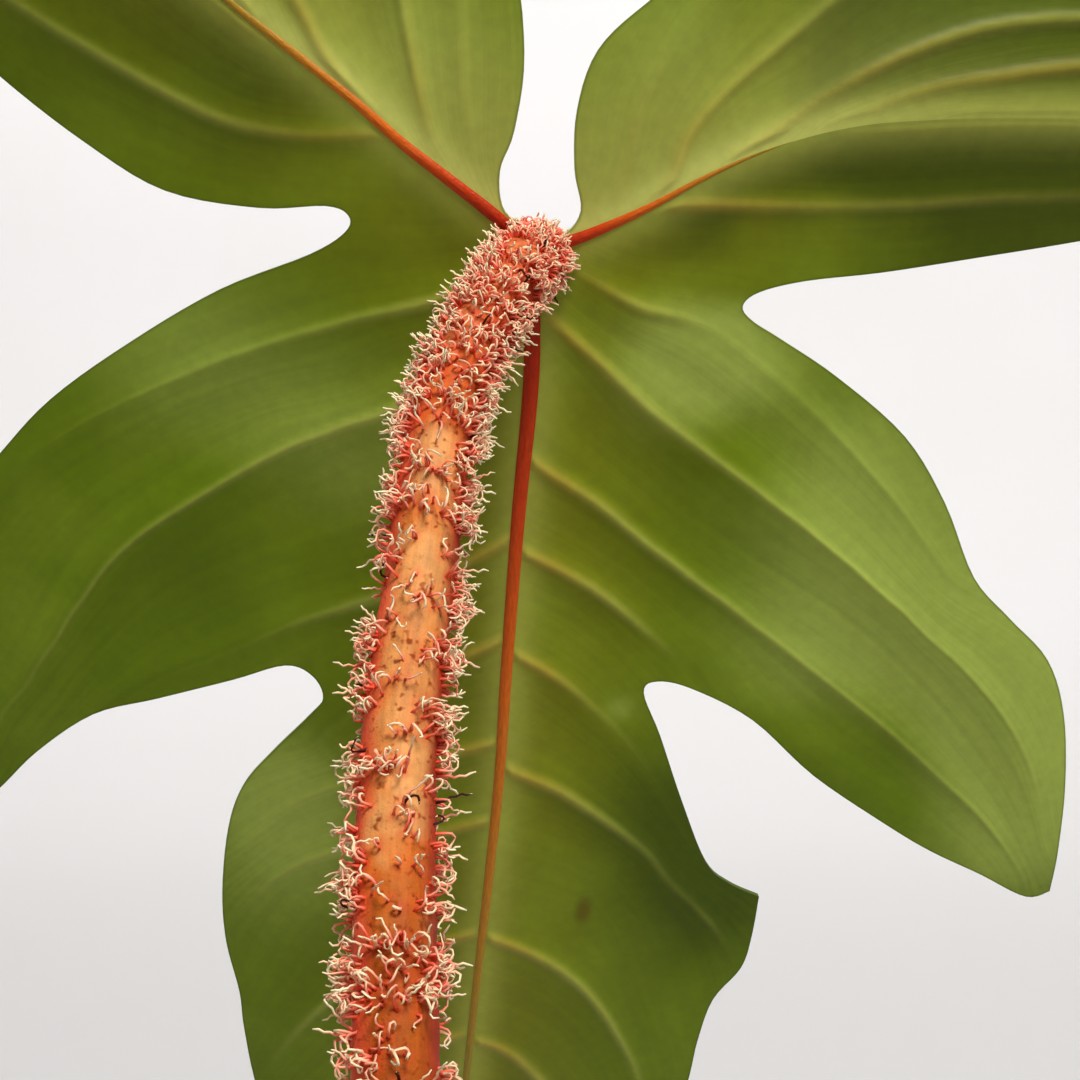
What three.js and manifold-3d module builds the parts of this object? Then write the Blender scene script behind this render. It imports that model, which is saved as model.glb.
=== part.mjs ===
// A young climbing philodendron in a plain terracotta pot: a short stem with five leaves and one
// leaf still rolled. Each leaf is a five-lobed blade that hangs from a red, bristly petiole.
// Millimetres, +Z up. The origin is the middle of the pot's flat base.

import * as THREE from "three";
import { mergeVertices } from "three/addons/utils/BufferGeometryUtils.js";
import Module from "manifold-3d";

const wasm = await Module();
wasm.setup();

// Clearance between pieces that touch on the real plant.
const SEAT_GAP = 0.3;

// Pot: a plain tapered terracotta pot with a rim band and four drainage holes.
const POT_HEIGHT = 125;
const POT_BASE_RADIUS = 50;
const POT_TOP_RADIUS = 70;
const RIM_RADIUS = 76;
const RIM_HEIGHT = 25;
const POT_WALL = 5;
const POT_EDGE = 1.5;
const DRAIN_RADIUS = 5.5;
const DRAIN_CIRCLE = 30;
const DRAIN_COUNT = 4;
const DRAIN_SIDES = 12;
const POT_SIDES = 40;

// Soil: fills the pot to a little under the rim, with a lumpy top.
const SOIL_TOP = 111;
const SOIL_LUMP = 2.2;
const SOIL_RINGS = 5;
const SOIL_SIDES = 24;

// Stem: stands upright, with a swelling at each leaf's node.
const STEM_FOOT = 66;
const STEM_TOP = 204;
const STEM_FOOT_RADIUS = 8.2;
const STEM_TOP_RADIUS = 6.2;
const NODE_SWELL = 0.9;
const NODE_REACH = 4;
const STEM_SIDES = 12;
const STEM_STEPS = 26;

// Roots: thin aerial ones that reach down into the soil, and thicker ones under it.
const AERIAL_ROOT_RADIUS = 1.5;
const BURIED_ROOT_RADIUS = 2;
const ROOT_TIP_SHARE = 0.6;
const ROOT_SIDES = 6;
const ROOT_STEPS = 8;

// Petiole: thick at the stem, slimmer towards the blade, with a slight swelling at the neck.
const PETIOLE_BASE_RADIUS = 5.2;
const PETIOLE_NECK_RADIUS = 3.6;
const PETIOLE_SIDES = 10;
const PETIOLE_STEP = 10;
const NECK_SWELL = 0.35;
const NECK_SHARE = 0.05;
const SEAT_WIDTH = 24;
const SEAT_DEPTH = 16;

// Bristles: soft three-sided spikes that stand out of the petiole on all sides.
const BRISTLE_LENGTH = 2.8;
const BRISTLE_SUNK = 0.9;
const BRISTLE_ROOT_RADIUS = 0.6;
const BRISTLE_SPREAD = 0.7;
const BRISTLE_CLEARANCE = 0.6;
const FRAME_STEPS = 400;
const BARE_BASE = 16;
const BARE_NECK = 5;
const GOLDEN_ANGLE = Math.PI * (3 - Math.sqrt(5));

// Blade: a thin leaf that is folded along its ribs, seen from its underside at +z.
const BLADE_THICK = 0.7;
const RIB_HEIGHT = 1.1;
const RIB_END_HEIGHT = 0.35;
const RIB_HALF_WIDTH = 1.6;
const RIB_STEP = 13;
const JOINT_Y = -1.2;
const CREST_HEIGHT = 7;
const CREST_REACH = 22;
const CREST_SOFT = 2;
const FOLD_SLOPE = 0.08;
const FOLD_SOFT = 15;
const DROOP_RATE = 0.0009;
const DROOP_FROM = 50;
const MARGIN_STEP = 11;
const MESH_STEP = 17;

// The blade's margins in its own plane: x across, y up from the petiole, the tip at the lowest y.
// Each runs from one pointed end to the next, so that only the points stay sharp.
const MARGINS = [
  // The right basal lobe, out of the notch at the petiole and round to the right side lobe's point.
  [
    [0.5, 2.5], [3.8, 2], [5.8, 5], [4.6, 10], [4.3, 17], [6.2, 24], [11.6, 29.8], [20, 36.5],
    [33, 42.5], [50, 46], [68, 45], [86, 40], [100, 32], [106, 23], [101, 15], [88, 9.5],
    [70, 5], [58, 2.3], [45, -0.5], [35, -2.1], [29.2, -3.8], [27.3, -5.7], [28.9, -7.6],
    [33, -9.9], [41.3, -14.8], [51.7, -22.6], [59, -32], [65.2, -43], [71.7, -49.3],
    [78.9, -56], [83.4, -65], [86.5, -77.6], [88.2, -90], [89, -98],
  ],
  // Under the right side lobe, through its notch and out to the middle lobe's shoulder.
  [
    [89, -98], [85.3, -99], [77, -94.5], [68, -90], [60, -85], [47.5, -76.2], [37, -66.6],
    [27.5, -61.4], [22.4, -60.2], [20.7, -62], [23.8, -69], [28.3, -80.3], [33.4, -91.7],
    [37.5, -95.8], [42.5, -98.5],
  ],
  // The middle lobe's right side, down to its tip.
  [
    [42.5, -98.5], [42.5, -106.5], [41.7, -112.8], [38.1, -119.3], [36.8, -128.2],
    [36.3, -138.5], [34, -152], [27.5, -168], [17.5, -184], [8, -195], [0, -206],
  ],
  // The middle lobe's left side, up through its notch and out to the left side lobe's point.
  [
    [0, -206], [-9, -193], [-19, -179], [-28, -163], [-33.4, -146], [-35.6, -132],
    [-36.3, -124], [-38.3, -114], [-38.8, -104], [-37.8, -92], [-35.6, -84], [-31.4, -77.5],
    [-26, -70.4], [-24, -67], [-25.6, -63.7], [-29.5, -62.6], [-37, -66.1], [-48, -70.8],
    [-57.6, -74.8], [-66.4, -82.6], [-73.3, -91], [-83, -101], [-94, -110], [-104, -116],
  ],
  // Over the left side lobe, through its notch and round the left basal lobe to the petiole.
  [
    [-104, -116], [-104, -104], [-100, -87], [-92, -69], [-82, -52], [-70, -36.6],
    [-62, -27.2], [-51, -18], [-39, -9.5], [-27.5, -3.6], [-23, -0.2], [-22.6, 1.9],
    [-25.5, 2.8], [-34, 1.6], [-46, 2.4], [-56.2, 7.3], [-67, 14.4], [-79, 24], [-90, 36],
    [-97, 48], [-98, 57], [-92, 64], [-79, 67], [-62, 65], [-44, 60], [-26, 52.5], [-12, 43],
    [-5, 34], [-2.5, 23], [-3, 14], [-4.4, 9], [-3.4, 4.2], [0.5, 2.5],
  ],
];

// The three red ribs: the middle one, and one out into each basal lobe.
const RIBS = [
  [[0, 0], [1.2, -40], [1.5, -80], [1.5, -120], [0, -196]],
  [[0, 0], [-15, 9.3], [-32, 21.8], [-52, 35], [-88, 54]],
  [[0, 0], [13.5, 5], [29, 14.5], [50, 19.5], [98, 21]],
];

// The petiole's last bend, in the blade's frame: up and over to meet the blade's underside squarely.
const NECK_BEND = [[-7, -9.7, 19.5], [-4, -4.4, 12.5], [-1.5, -1.6, 7]];

// The leaves, from the youngest down. The blade faces out along its heading, in degrees
// anticlockwise from +Y, and hangs at its droop from upright.
const LEAVES = [
  {
    name: "leaf_1", scale: 1, mirrored: false, bristles: 120,
    node: 186, junction: [-1.2, 120, 431], heading: 0, droop: 22, roll: -4.6,
    route: [
      [-2, 12, 209], [-9, 38, 272], [-13.2, 67, 345.6], [-14.3, 83, 373], [-12.8, 93, 391.5],
      [-11.2, 100.7, 406.8],
    ],
  },
  {
    name: "leaf_2", scale: 0.93, mirrored: true, bristles: 54,
    node: 171, junction: [-68, -108, 378], heading: 148, droop: 26, roll: 5,
    route: [[-8, -11, 194], [-31, -36, 253], [-53, -65, 314]],
  },
  {
    name: "leaf_3", scale: 0.87, mirrored: false, bristles: 54,
    node: 156, junction: [118, -6, 334], heading: -93, droop: 28, roll: -3,
    route: [[12, 1, 176], [44, 4, 226], [79, 5, 277]],
  },
  {
    name: "leaf_4", scale: 0.8, mirrored: true, bristles: 48,
    node: 142, junction: [-112, 24, 306], heading: 78, droop: 30, roll: 4,
    route: [[-11, 3, 161], [-41, 14, 206], [-74, 25, 253]],
  },
  {
    name: "leaf_5", scale: 0.68, mirrored: false, bristles: 42,
    node: 128, junction: [39, -97, 270], heading: 202, droop: 33, roll: 0,
    route: [[5, -9, 144], [19, -35, 183], [33, -65, 223]],
  },
];

// The rolled new leaf at the top of the stem.
const SPEAR_ROUTE = [
  [0, 0, STEM_TOP + SEAT_GAP], [0, 0, STEM_TOP + 12], [2, 3, 230], [5, 5, 254], [5, 7, 284],
];
const SPEAR_FOOT_RADIUS = 3.7;
const SPEAR_BELLY = 0.8;
const SPEAR_TIP_RADIUS = 0.25;
const SPEAR_SIDES = 8;
const SPEAR_STEPS = 10;

const ROOT_ROUTES = {
  aerial: [
    [[0, 0, 171], [13, 9, 160], [21, 15, 132], [23, 17, 96]],
    [[0, 0, 142], [8, -14, 136], [11, -24, 120], [12, -27, 97]],
    [[0, 0, 156], [-9, 13, 148], [-16, 23, 128], [-17, 26, 95]],
  ],
  buried: [
    [[0, 0, 76], [16, 4, 66], [30, 10, 44], [33, 14, 22]],
    [[0, 0, 74], [-12, 14, 62], [-20, 27, 40], [-26, 27, 20]],
    [[0, 0, 75], [-14, -10, 60], [-27, -20, 42], [-24, -30, 20]],
    [[0, 0, 73], [8, -15, 60], [13, -29, 42], [22, -30, 18]],
    [[0, 0, 78], [2, 3, 50], [-3, -2, 32], [3, 2, 14]],
  ],
};

const COLOURS = {
  terracotta: 0xb5653f,
  soil: 0x2e2119,
  stem: 0x6f7b3a,
  petiole: 0xd9683c,
  blade: 0x5f7422,
  spear: 0x9aa648,
};

// Makes a repeatable random number source, so that every build is alike.
function seededRandom(seed) {
  let state = seed;
  return () => {
    state = (state + 0x6d2b79f5) | 0;
    let mixed = Math.imul(state ^ (state >>> 15), 1 | state);
    mixed = (mixed + Math.imul(mixed ^ (mixed >>> 7), 61 | mixed)) ^ mixed;
    return ((mixed ^ (mixed >>> 14)) >>> 0) / 4294967296;
  };
}

// Keeps only the positions of a geometry and merges the vertices that its faces share.
function weld(geometry) {
  const bare = geometry.clone();
  bare.deleteAttribute("normal");
  bare.deleteAttribute("uv");
  return mergeVertices(bare, 1e-4);
}

function toSolid(geometry) {
  const welded = weld(geometry);
  return new wasm.Manifold(
    new wasm.Mesh({
      numProp: 3,
      vertProperties: Float32Array.from(welded.attributes.position.array),
      triVerts: Uint32Array.from(welded.index.array),
    }),
  );
}

function toGeometry(solid) {
  const { vertProperties, triVerts } = solid.getMesh();
  const geometry = new THREE.BufferGeometry();
  geometry.setAttribute("position", new THREE.BufferAttribute(vertProperties, 3));
  geometry.setIndex(new THREE.BufferAttribute(triVerts, 1));
  return geometry;
}

function makeMesh(name, geometry, color, roughness) {
  geometry.computeVertexNormals();
  const material = new THREE.MeshStandardMaterial({ color, roughness, metalness: 0 });
  const mesh = new THREE.Mesh(geometry, material);
  mesh.name = name;
  return mesh;
}

function smoothCurve(points) {
  return new THREE.CatmullRomCurve3(points.map((p) => new THREE.Vector3(...p)));
}

// Bends a closed cylinder along a curve. radiusAt gives the radius at a share of its length, and
// the margin thickens it all over, ends included.
function bendAlong(curve, radiusAt, sides, steps, margin = 0) {
  const geometry = weld(new THREE.CylinderGeometry(1, 1, 1, sides, steps));
  const frames = curve.computeFrenetFrames(steps, false);
  const position = geometry.attributes.position;
  for (let i = 0; i < position.count; i++) {
    const share = position.getY(i) + 0.5;
    const step = Math.round(share * steps);
    const radius = radiusAt(share) + margin / Math.cos(Math.PI / sides);
    const beyond = step === 0 ? -margin : step === steps ? margin : 0;
    const point = curve
      .getPointAt(share)
      .addScaledVector(frames.tangents[step], beyond)
      .addScaledVector(frames.binormals[step], position.getX(i) * radius)
      .addScaledVector(frames.normals[step], position.getZ(i) * radius);
    position.setXYZ(i, point.x, point.y, point.z);
  }
  return geometry;
}

// Pot

function makePot() {
  const rimStep = POT_HEIGHT - RIM_HEIGHT;
  const rimInside = RIM_RADIUS - POT_WALL;
  const baseInside = POT_BASE_RADIUS - POT_WALL;
  const profile = [
    [0, 0], [POT_BASE_RADIUS - POT_EDGE, 0], [POT_BASE_RADIUS, POT_EDGE],
    [POT_TOP_RADIUS, rimStep], [RIM_RADIUS - 2 * POT_EDGE, rimStep],
    [RIM_RADIUS - POT_EDGE, rimStep + POT_EDGE], [RIM_RADIUS, POT_HEIGHT - POT_EDGE],
    [RIM_RADIUS - POT_EDGE, POT_HEIGHT], [rimInside, POT_HEIGHT],
    [rimInside - POT_EDGE, POT_HEIGHT - POT_EDGE], [POT_TOP_RADIUS - POT_WALL, rimStep],
    [baseInside, POT_WALL + 2 * POT_EDGE], [baseInside - 2 * POT_EDGE, POT_WALL], [0, POT_WALL],
  ].map(([r, z]) => new THREE.Vector2(r, z));
  const shell = new THREE.LatheGeometry(profile, POT_SIDES).rotateX(Math.PI / 2);
  let pot = toSolid(shell);
  for (let i = 0; i < DRAIN_COUNT; i++) {
    const angle = ((i + 0.5) / DRAIN_COUNT) * 2 * Math.PI;
    const drain = new THREE.CylinderGeometry(DRAIN_RADIUS, DRAIN_RADIUS, 4 * POT_WALL, DRAIN_SIDES);
    drain.rotateX(Math.PI / 2);
    drain.translate(Math.cos(angle) * DRAIN_CIRCLE, Math.sin(angle) * DRAIN_CIRCLE, 0);
    pot = pot.subtract(toSolid(drain));
  }
  return makeMesh("pot", toGeometry(pot), COLOURS.terracotta, 0.85);
}

// Stem and roots

function stemRadius(height) {
  const share = (height - STEM_FOOT) / (STEM_TOP - STEM_FOOT);
  const plain = THREE.MathUtils.lerp(STEM_FOOT_RADIUS, STEM_TOP_RADIUS, share);
  const swell = LEAVES.reduce(
    (sum, leaf) => sum + NODE_SWELL * Math.exp(-(((height - leaf.node) / NODE_REACH) ** 2)),
    0,
  );
  return plain + swell;
}

// The stem and its roots, thicker all over by the margin given, as one solid.
function stemSolid(margin) {
  const axis = smoothCurve([[0, 0, STEM_FOOT], [0, 0, STEM_TOP]]);
  const radiusAt = (share) => stemRadius(THREE.MathUtils.lerp(STEM_FOOT, STEM_TOP, share));
  const pieces = [toSolid(bendAlong(axis, radiusAt, STEM_SIDES, STEM_STEPS, margin))];
  const addRoot = (route, radius) => {
    const taper = (share) => radius * (1 - (1 - ROOT_TIP_SHARE) * share);
    pieces.push(toSolid(bendAlong(smoothCurve(route), taper, ROOT_SIDES, ROOT_STEPS, margin)));
  };
  ROOT_ROUTES.aerial.forEach((route) => addRoot(route, AERIAL_ROOT_RADIUS));
  ROOT_ROUTES.buried.forEach((route) => addRoot(route, BURIED_ROOT_RADIUS));
  return wasm.Manifold.union(pieces);
}

function makeStem() {
  return makeMesh("stem", toGeometry(stemSolid(0)), COLOURS.stem, 0.6);
}

function makeSpear() {
  const taper = (share) => {
    const body = SPEAR_FOOT_RADIUS * (1 + SPEAR_BELLY * share) * (1 - share ** 2.2);
    return body + SPEAR_TIP_RADIUS;
  };
  const spear = bendAlong(smoothCurve(SPEAR_ROUTE), taper, SPEAR_SIDES, SPEAR_STEPS);
  return makeMesh("new_leaf", spear, COLOURS.spear, 0.5);
}

// Soil

function makeSoil() {
  const rimStep = POT_HEIGHT - RIM_HEIGHT;
  const floor = POT_WALL + SEAT_GAP;
  const topRadius = POT_TOP_RADIUS - POT_WALL - SEAT_GAP;
  const baseRadius = POT_BASE_RADIUS - POT_WALL - 2 * SEAT_GAP;
  const profile = [
    [0, floor], [baseRadius - 2 * POT_EDGE, floor], [baseRadius, floor + 2 * POT_EDGE],
    [topRadius, rimStep], [topRadius + POT_EDGE, SOIL_TOP - POT_EDGE],
  ].map(([r, z]) => new THREE.Vector2(r, z));
  for (let ring = SOIL_RINGS; ring >= 0; ring--) {
    profile.push(new THREE.Vector2((ring / SOIL_RINGS) * topRadius, SOIL_TOP));
  }
  const geometry = weld(new THREE.LatheGeometry(profile, SOIL_SIDES).rotateX(Math.PI / 2));
  const random = seededRandom(7);
  const position = geometry.attributes.position;
  for (let i = 0; i < position.count; i++) {
    const onTop = position.getZ(i) > SOIL_TOP - POT_EDGE / 2;
    if (onTop) position.setZ(i, SOIL_TOP + (random() - 0.5) * 2 * SOIL_LUMP);
  }
  const soil = toSolid(geometry).subtract(stemSolid(SEAT_GAP));
  return makeMesh("soil", toGeometry(soil), COLOURS.soil, 1);
}

// Blade

const RIB_LINES = RIBS.map((points) => {
  const curve = new THREE.SplineCurve(points.map((p) => new THREE.Vector2(...p)));
  return { curve, line: curve.getPoints(48) };
});

function distanceToLine(x, y, line) {
  let nearest = Infinity;
  for (let i = 1; i < line.length; i++) {
    const a = line[i - 1];
    const b = line[i];
    const alongX = b.x - a.x;
    const alongY = b.y - a.y;
    const share = ((x - a.x) * alongX + (y - a.y) * alongY) / (alongX ** 2 + alongY ** 2);
    const t = THREE.MathUtils.clamp(share, 0, 1);
    nearest = Math.min(nearest, Math.hypot(x - a.x - t * alongX, y - a.y - t * alongY));
  }
  return nearest;
}

// How far the blade's middle surface stands towards its underside. It is creased along the ribs,
// folded back on both sides of the middle one, and its lobes droop.
function bladeHeight(x, y) {
  const away = RIB_LINES.reduce((product, { line }) => {
    const distance = Math.hypot(distanceToLine(x, y, line), CREST_SOFT) - CREST_SOFT;
    return product * (1 - Math.exp(-distance / CREST_REACH));
  }, 1);
  const fold = Math.hypot(x, FOLD_SOFT) - FOLD_SOFT;
  const beyond = Math.max(0, Math.hypot(x, y) - DROOP_FROM);
  return -CREST_HEIGHT * away - FOLD_SLOPE * fold - DROOP_RATE * beyond ** 2;
}

// The outline's points, anticlockwise: every point of the margins, and more where they lie far apart.
function outlinePoints() {
  const points = [];
  MARGINS.forEach((margin) => {
    const curve = new THREE.SplineCurve(margin.map((p) => new THREE.Vector2(...p)));
    const spans = margin.length - 1;
    for (let i = 0; i < spans; i++) {
      const length = curve.points[i].distanceTo(curve.points[i + 1]);
      const parts = Math.max(1, Math.round(length / MARGIN_STEP));
      for (let k = 0; k < parts; k++) points.push(curve.getPoint((i + k / parts) / spans));
    }
  });
  return points.reverse();
}

function isInside(x, y, outline) {
  let inside = false;
  for (let i = 0, j = outline.length - 1; i < outline.length; j = i++) {
    const a = outline[i];
    const b = outline[j];
    const crosses = a.y > y !== b.y > y && x < ((b.x - a.x) * (y - a.y)) / (b.y - a.y) + a.x;
    if (crosses) inside = !inside;
  }
  return inside;
}

// Joins points in a plane into Delaunay triangles, adding one point at a time to a triangle that
// holds them all.
function delaunay(points) {
  const far = 1e4;
  const all = [...points, { x: -far, y: -far }, { x: far, y: -far }, { x: 0, y: far }];
  const circled = (a, b, c) => {
    const [p, q, r] = [all[a], all[b], all[c]];
    const d = 2 * (p.x * (q.y - r.y) + q.x * (r.y - p.y) + r.x * (p.y - q.y));
    const [pp, qq, rr] = [p, q, r].map((v) => v.x ** 2 + v.y ** 2);
    const x = (pp * (q.y - r.y) + qq * (r.y - p.y) + rr * (p.y - q.y)) / d;
    const y = (pp * (r.x - q.x) + qq * (p.x - r.x) + rr * (q.x - p.x)) / d;
    return { corners: [a, b, c], x, y, reach: Math.hypot(p.x - x, p.y - y) };
  };
  const count = points.length;
  let triangles = [circled(count, count + 1, count + 2)];
  for (let i = 0; i < count; i++) {
    const hit = triangles.filter((t) => Math.hypot(all[i].x - t.x, all[i].y - t.y) < t.reach);
    const edges = new Map();
    hit.forEach(({ corners: [a, b, c] }) =>
      [[a, b], [b, c], [c, a]].forEach(([from, to]) => {
        if (!edges.delete(`${to} ${from}`)) edges.set(`${from} ${to}`, [from, to]);
      }),
    );
    triangles = triangles.filter((t) => !hit.includes(t));
    edges.forEach(([from, to]) => triangles.push(circled(from, to, i)));
  }
  return triangles.map((t) => t.corners).filter((corners) => Math.max(...corners) < count);
}

// The points of the blade's mesh, each with the height of its rib there.
function bladePoints(outline) {
  const points = outline.map((p) => ({ x: p.x, y: p.y, rib: 0 }));
  const isClear = (x, y, room) => points.every((p) => Math.hypot(p.x - x, p.y - y) > room);
  const add = (x, y, rib, room) => {
    if (isInside(x, y, outline) && isClear(x, y, room)) points.push({ x, y, rib });
  };
  add(0, JOINT_Y, RIB_HEIGHT, 0.5);
  RIB_LINES.forEach(({ curve }) => {
    const length = curve.getLength();
    const steps = Math.round(length / RIB_STEP);
    for (let i = 1; i < steps; i++) {
      const share = i / steps;
      const { x, y } = curve.getPointAt(share);
      const tangent = curve.getTangentAt(share);
      const half = RIB_HALF_WIDTH * (1 - 0.5 * share);
      add(x, y, THREE.MathUtils.lerp(RIB_HEIGHT, RIB_END_HEIGHT, share), 1);
      add(x - tangent.y * half, y + tangent.x * half, 0, 0.6);
      add(x + tangent.y * half, y - tangent.x * half, 0, 0.6);
    }
  });
  const rowHeight = MESH_STEP * Math.sqrt(0.75);
  const reach = Math.max(...outline.map((p) => Math.max(Math.abs(p.x), Math.abs(p.y))));
  const rows = Math.ceil(reach / rowHeight);
  for (let row = -rows; row <= rows; row++) {
    for (let column = -rows; column <= rows; column++) {
      const shift = row % 2 ? 0.5 : 0;
      add((column + shift) * MESH_STEP, row * rowHeight, 0, 0.52 * MESH_STEP);
    }
  }
  return points;
}

const OUTLINE = outlinePoints();
const BLADE_POINTS = bladePoints(OUTLINE);
const BLADE_TRIANGLES = delaunay(BLADE_POINTS).filter((corners) => {
  const x = corners.reduce((sum, i) => sum + BLADE_POINTS[i].x, 0) / 3;
  const y = corners.reduce((sum, i) => sum + BLADE_POINTS[i].y, 0) / 3;
  return isInside(x, y, OUTLINE);
});

// The blade as one closed skin: the same triangles on both faces, and a wall along the margin.
function bladeGeometry(thickness) {
  const face = (offset, ribShare) =>
    BLADE_POINTS.map(({ x, y, rib }) => [x, y, bladeHeight(x, y) + offset + ribShare * rib]);
  const under = face(thickness / 2, 1);
  const upper = face(-thickness / 2, 0);
  const count = BLADE_POINTS.length;
  const index = [];
  const border = new Map();
  BLADE_TRIANGLES.forEach(([a, b, c]) => {
    index.push(a, b, c, count + a, count + c, count + b);
    [[a, b], [b, c], [c, a]].forEach(([from, to]) => {
      if (!border.delete(`${to} ${from}`)) border.set(`${from} ${to}`, [from, to]);
    });
  });
  border.forEach(([from, to]) => {
    index.push(from, count + from, count + to, from, count + to, to);
  });
  const geometry = new THREE.BufferGeometry();
  const positions = new Float32Array([...under, ...upper].flat());
  geometry.setAttribute("position", new THREE.BufferAttribute(positions, 3));
  geometry.setIndex(index);
  return geometry;
}

// Where a leaf's blade stands: its own frame carried to the petiole's end.
function bladeFrame(leaf) {
  const toRadians = THREE.MathUtils.degToRad;
  const frame = new THREE.Group();
  frame.position.set(...leaf.junction);
  frame.rotation.set(toRadians(90 + leaf.droop), 0, 0);
  frame.rotateOnWorldAxis(new THREE.Vector3(0, 0, 1), toRadians(leaf.heading));
  frame.rotateZ(toRadians(leaf.roll));
  frame.scale.setScalar(leaf.scale);
  frame.updateMatrixWorld();
  return frame;
}

function makeBlade(leaf) {
  const geometry = bladeGeometry(BLADE_THICK / leaf.scale);
  if (leaf.mirrored) {
    geometry.scale(-1, 1, 1);
    geometry.index.array.reverse();
  }
  const frame = bladeFrame(leaf);
  frame.add(makeMesh(`${leaf.name}_blade`, geometry, COLOURS.blade, 0.45));
  return frame;
}

// Petioles

// The petiole's line: out of the stem, along its route and round the neck to the blade's underside.
function petioleCurve(leaf) {
  const frame = bladeFrame(leaf);
  const side = leaf.mirrored ? -1 : 1;
  const neck = [...NECK_BEND, [0, JOINT_Y, 4], [0, JOINT_Y, 0]].map(([x, y, z]) =>
    frame.localToWorld(new THREE.Vector3(side * x, y, z)),
  );
  const route = leaf.route.map((p) => new THREE.Vector3(...p));
  return new THREE.CatmullRomCurve3([new THREE.Vector3(0, 0, leaf.node), ...route, ...neck]);
}

// The space behind the petiole's seat on the blade, which the petiole is cut by.
function seatSolid(leaf) {
  const seat = RIB_HEIGHT + (BLADE_THICK / 2 + SEAT_GAP) / leaf.scale;
  const block = new THREE.BoxGeometry(SEAT_WIDTH, SEAT_WIDTH, SEAT_DEPTH);
  block.translate(0, 0, seat - SEAT_DEPTH / 2);
  return toSolid(block.applyMatrix4(bladeFrame(leaf).matrixWorld));
}

function petioleRadius(leaf, share) {
  const size = Math.sqrt(leaf.scale);
  const plain = THREE.MathUtils.lerp(PETIOLE_BASE_RADIUS, PETIOLE_NECK_RADIUS, share ** 0.8);
  const neck = NECK_SWELL * Math.exp(-(((1 - share) / NECK_SHARE) ** 2));
  return (plain + neck) * size;
}

// Bristles spaced along a petiole in a spiral with a seeded jitter, each a cone sunk into it.
function bristleSolids(leaf, curve, random) {
  const length = curve.getLength();
  const frames = curve.computeFrenetFrames(FRAME_STEPS, false);
  const end = curve.getPointAt(1);
  const away = curve.getTangentAt(1);
  const cones = [];
  for (let i = 0; i < leaf.bristles; i++) {
    const share =
      (BARE_BASE + ((i + random() * 0.6) / leaf.bristles) * (length - BARE_BASE - BARE_NECK)) /
      length;
    const step = Math.round(share * FRAME_STEPS);
    const angle = i * GOLDEN_ANGLE + (random() - 0.5) * BRISTLE_SPREAD;
    const normal = frames.normals[step].clone().multiplyScalar(Math.cos(angle));
    normal.addScaledVector(frames.binormals[step], Math.sin(angle));
    const lean = (random() - 0.4) * BRISTLE_SPREAD;
    const direction = normal.clone().addScaledVector(frames.tangents[step], lean).normalize();
    const radius = petioleRadius(leaf, share);
    const reach = BRISTLE_LENGTH * (0.8 + 0.4 * random());
    const cone = new THREE.ConeGeometry(BRISTLE_ROOT_RADIUS, reach + BRISTLE_SUNK, 3);
    cone.rotateY(random() * Math.PI);
    cone.translate(0, (reach - BRISTLE_SUNK) / 2, 0);
    const turn = new THREE.Quaternion().setFromUnitVectors(new THREE.Vector3(0, 1, 0), direction);
    const root = curve.getPointAt(share).addScaledVector(normal, radius);
    cone.applyQuaternion(turn).translate(root.x, root.y, root.z);
    const tip = root.addScaledVector(direction, reach);
    const room = end.clone().sub(tip).dot(away);
    if (room > BRISTLE_CLEARANCE) cones.push(toSolid(cone));
  }
  return cones;
}

function makePetiole(leaf, index, stem) {
  const curve = petioleCurve(leaf);
  const steps = Math.round(curve.getLength() / PETIOLE_STEP);
  const tube = bendAlong(curve, (share) => petioleRadius(leaf, share), PETIOLE_SIDES, steps);
  const bristles = bristleSolids(leaf, curve, seededRandom(100 + index));
  const whole = wasm.Manifold.union([toSolid(tube), ...bristles]);
  const petiole = whole.subtract(stem).subtract(seatSolid(leaf));
  return makeMesh(`${leaf.name}_petiole`, toGeometry(petiole), COLOURS.petiole, 0.55);
}

const plant = new THREE.Group();
plant.add(makePot(), makeSoil(), makeStem(), makeSpear());
const stemClearance = stemSolid(SEAT_GAP);
LEAVES.forEach((leaf, index) => {
  plant.add(makePetiole(leaf, index, stemClearance), makeBlade(leaf));
});

export default plant;
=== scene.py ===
"""A young red-bristle philodendron in a clay pot, seen close from under its largest leaf.

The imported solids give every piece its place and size. Each class below builds the fine surface of
one sub-assembly in the same frame, in metres, and dresses it with a procedural finish.
"""

import logging
import math
import random
from dataclasses import dataclass, field
from enum import Enum
from functools import cache
from typing import Callable, Sequence

import bmesh
import bpy
import numpy as np
from mathutils import Matrix, Vector, noise
from mathutils.kdtree import KDTree


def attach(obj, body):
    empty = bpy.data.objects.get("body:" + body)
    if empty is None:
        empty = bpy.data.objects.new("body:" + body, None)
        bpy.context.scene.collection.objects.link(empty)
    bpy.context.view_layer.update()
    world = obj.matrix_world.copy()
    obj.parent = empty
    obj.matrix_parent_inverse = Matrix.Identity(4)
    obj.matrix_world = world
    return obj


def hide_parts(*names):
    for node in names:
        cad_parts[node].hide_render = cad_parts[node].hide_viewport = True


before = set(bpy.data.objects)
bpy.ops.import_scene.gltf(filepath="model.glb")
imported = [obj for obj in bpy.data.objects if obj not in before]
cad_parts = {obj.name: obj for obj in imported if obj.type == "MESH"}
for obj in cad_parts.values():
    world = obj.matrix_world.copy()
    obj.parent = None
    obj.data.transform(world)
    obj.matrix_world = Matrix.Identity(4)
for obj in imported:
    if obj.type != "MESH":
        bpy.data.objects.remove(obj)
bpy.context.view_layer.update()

MM = 0.001
# The millimetres that one unit of a blade's UV maps stands for.
PLANE_UNIT = 100.0

log = logging.getLogger("philodendron")

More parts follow.
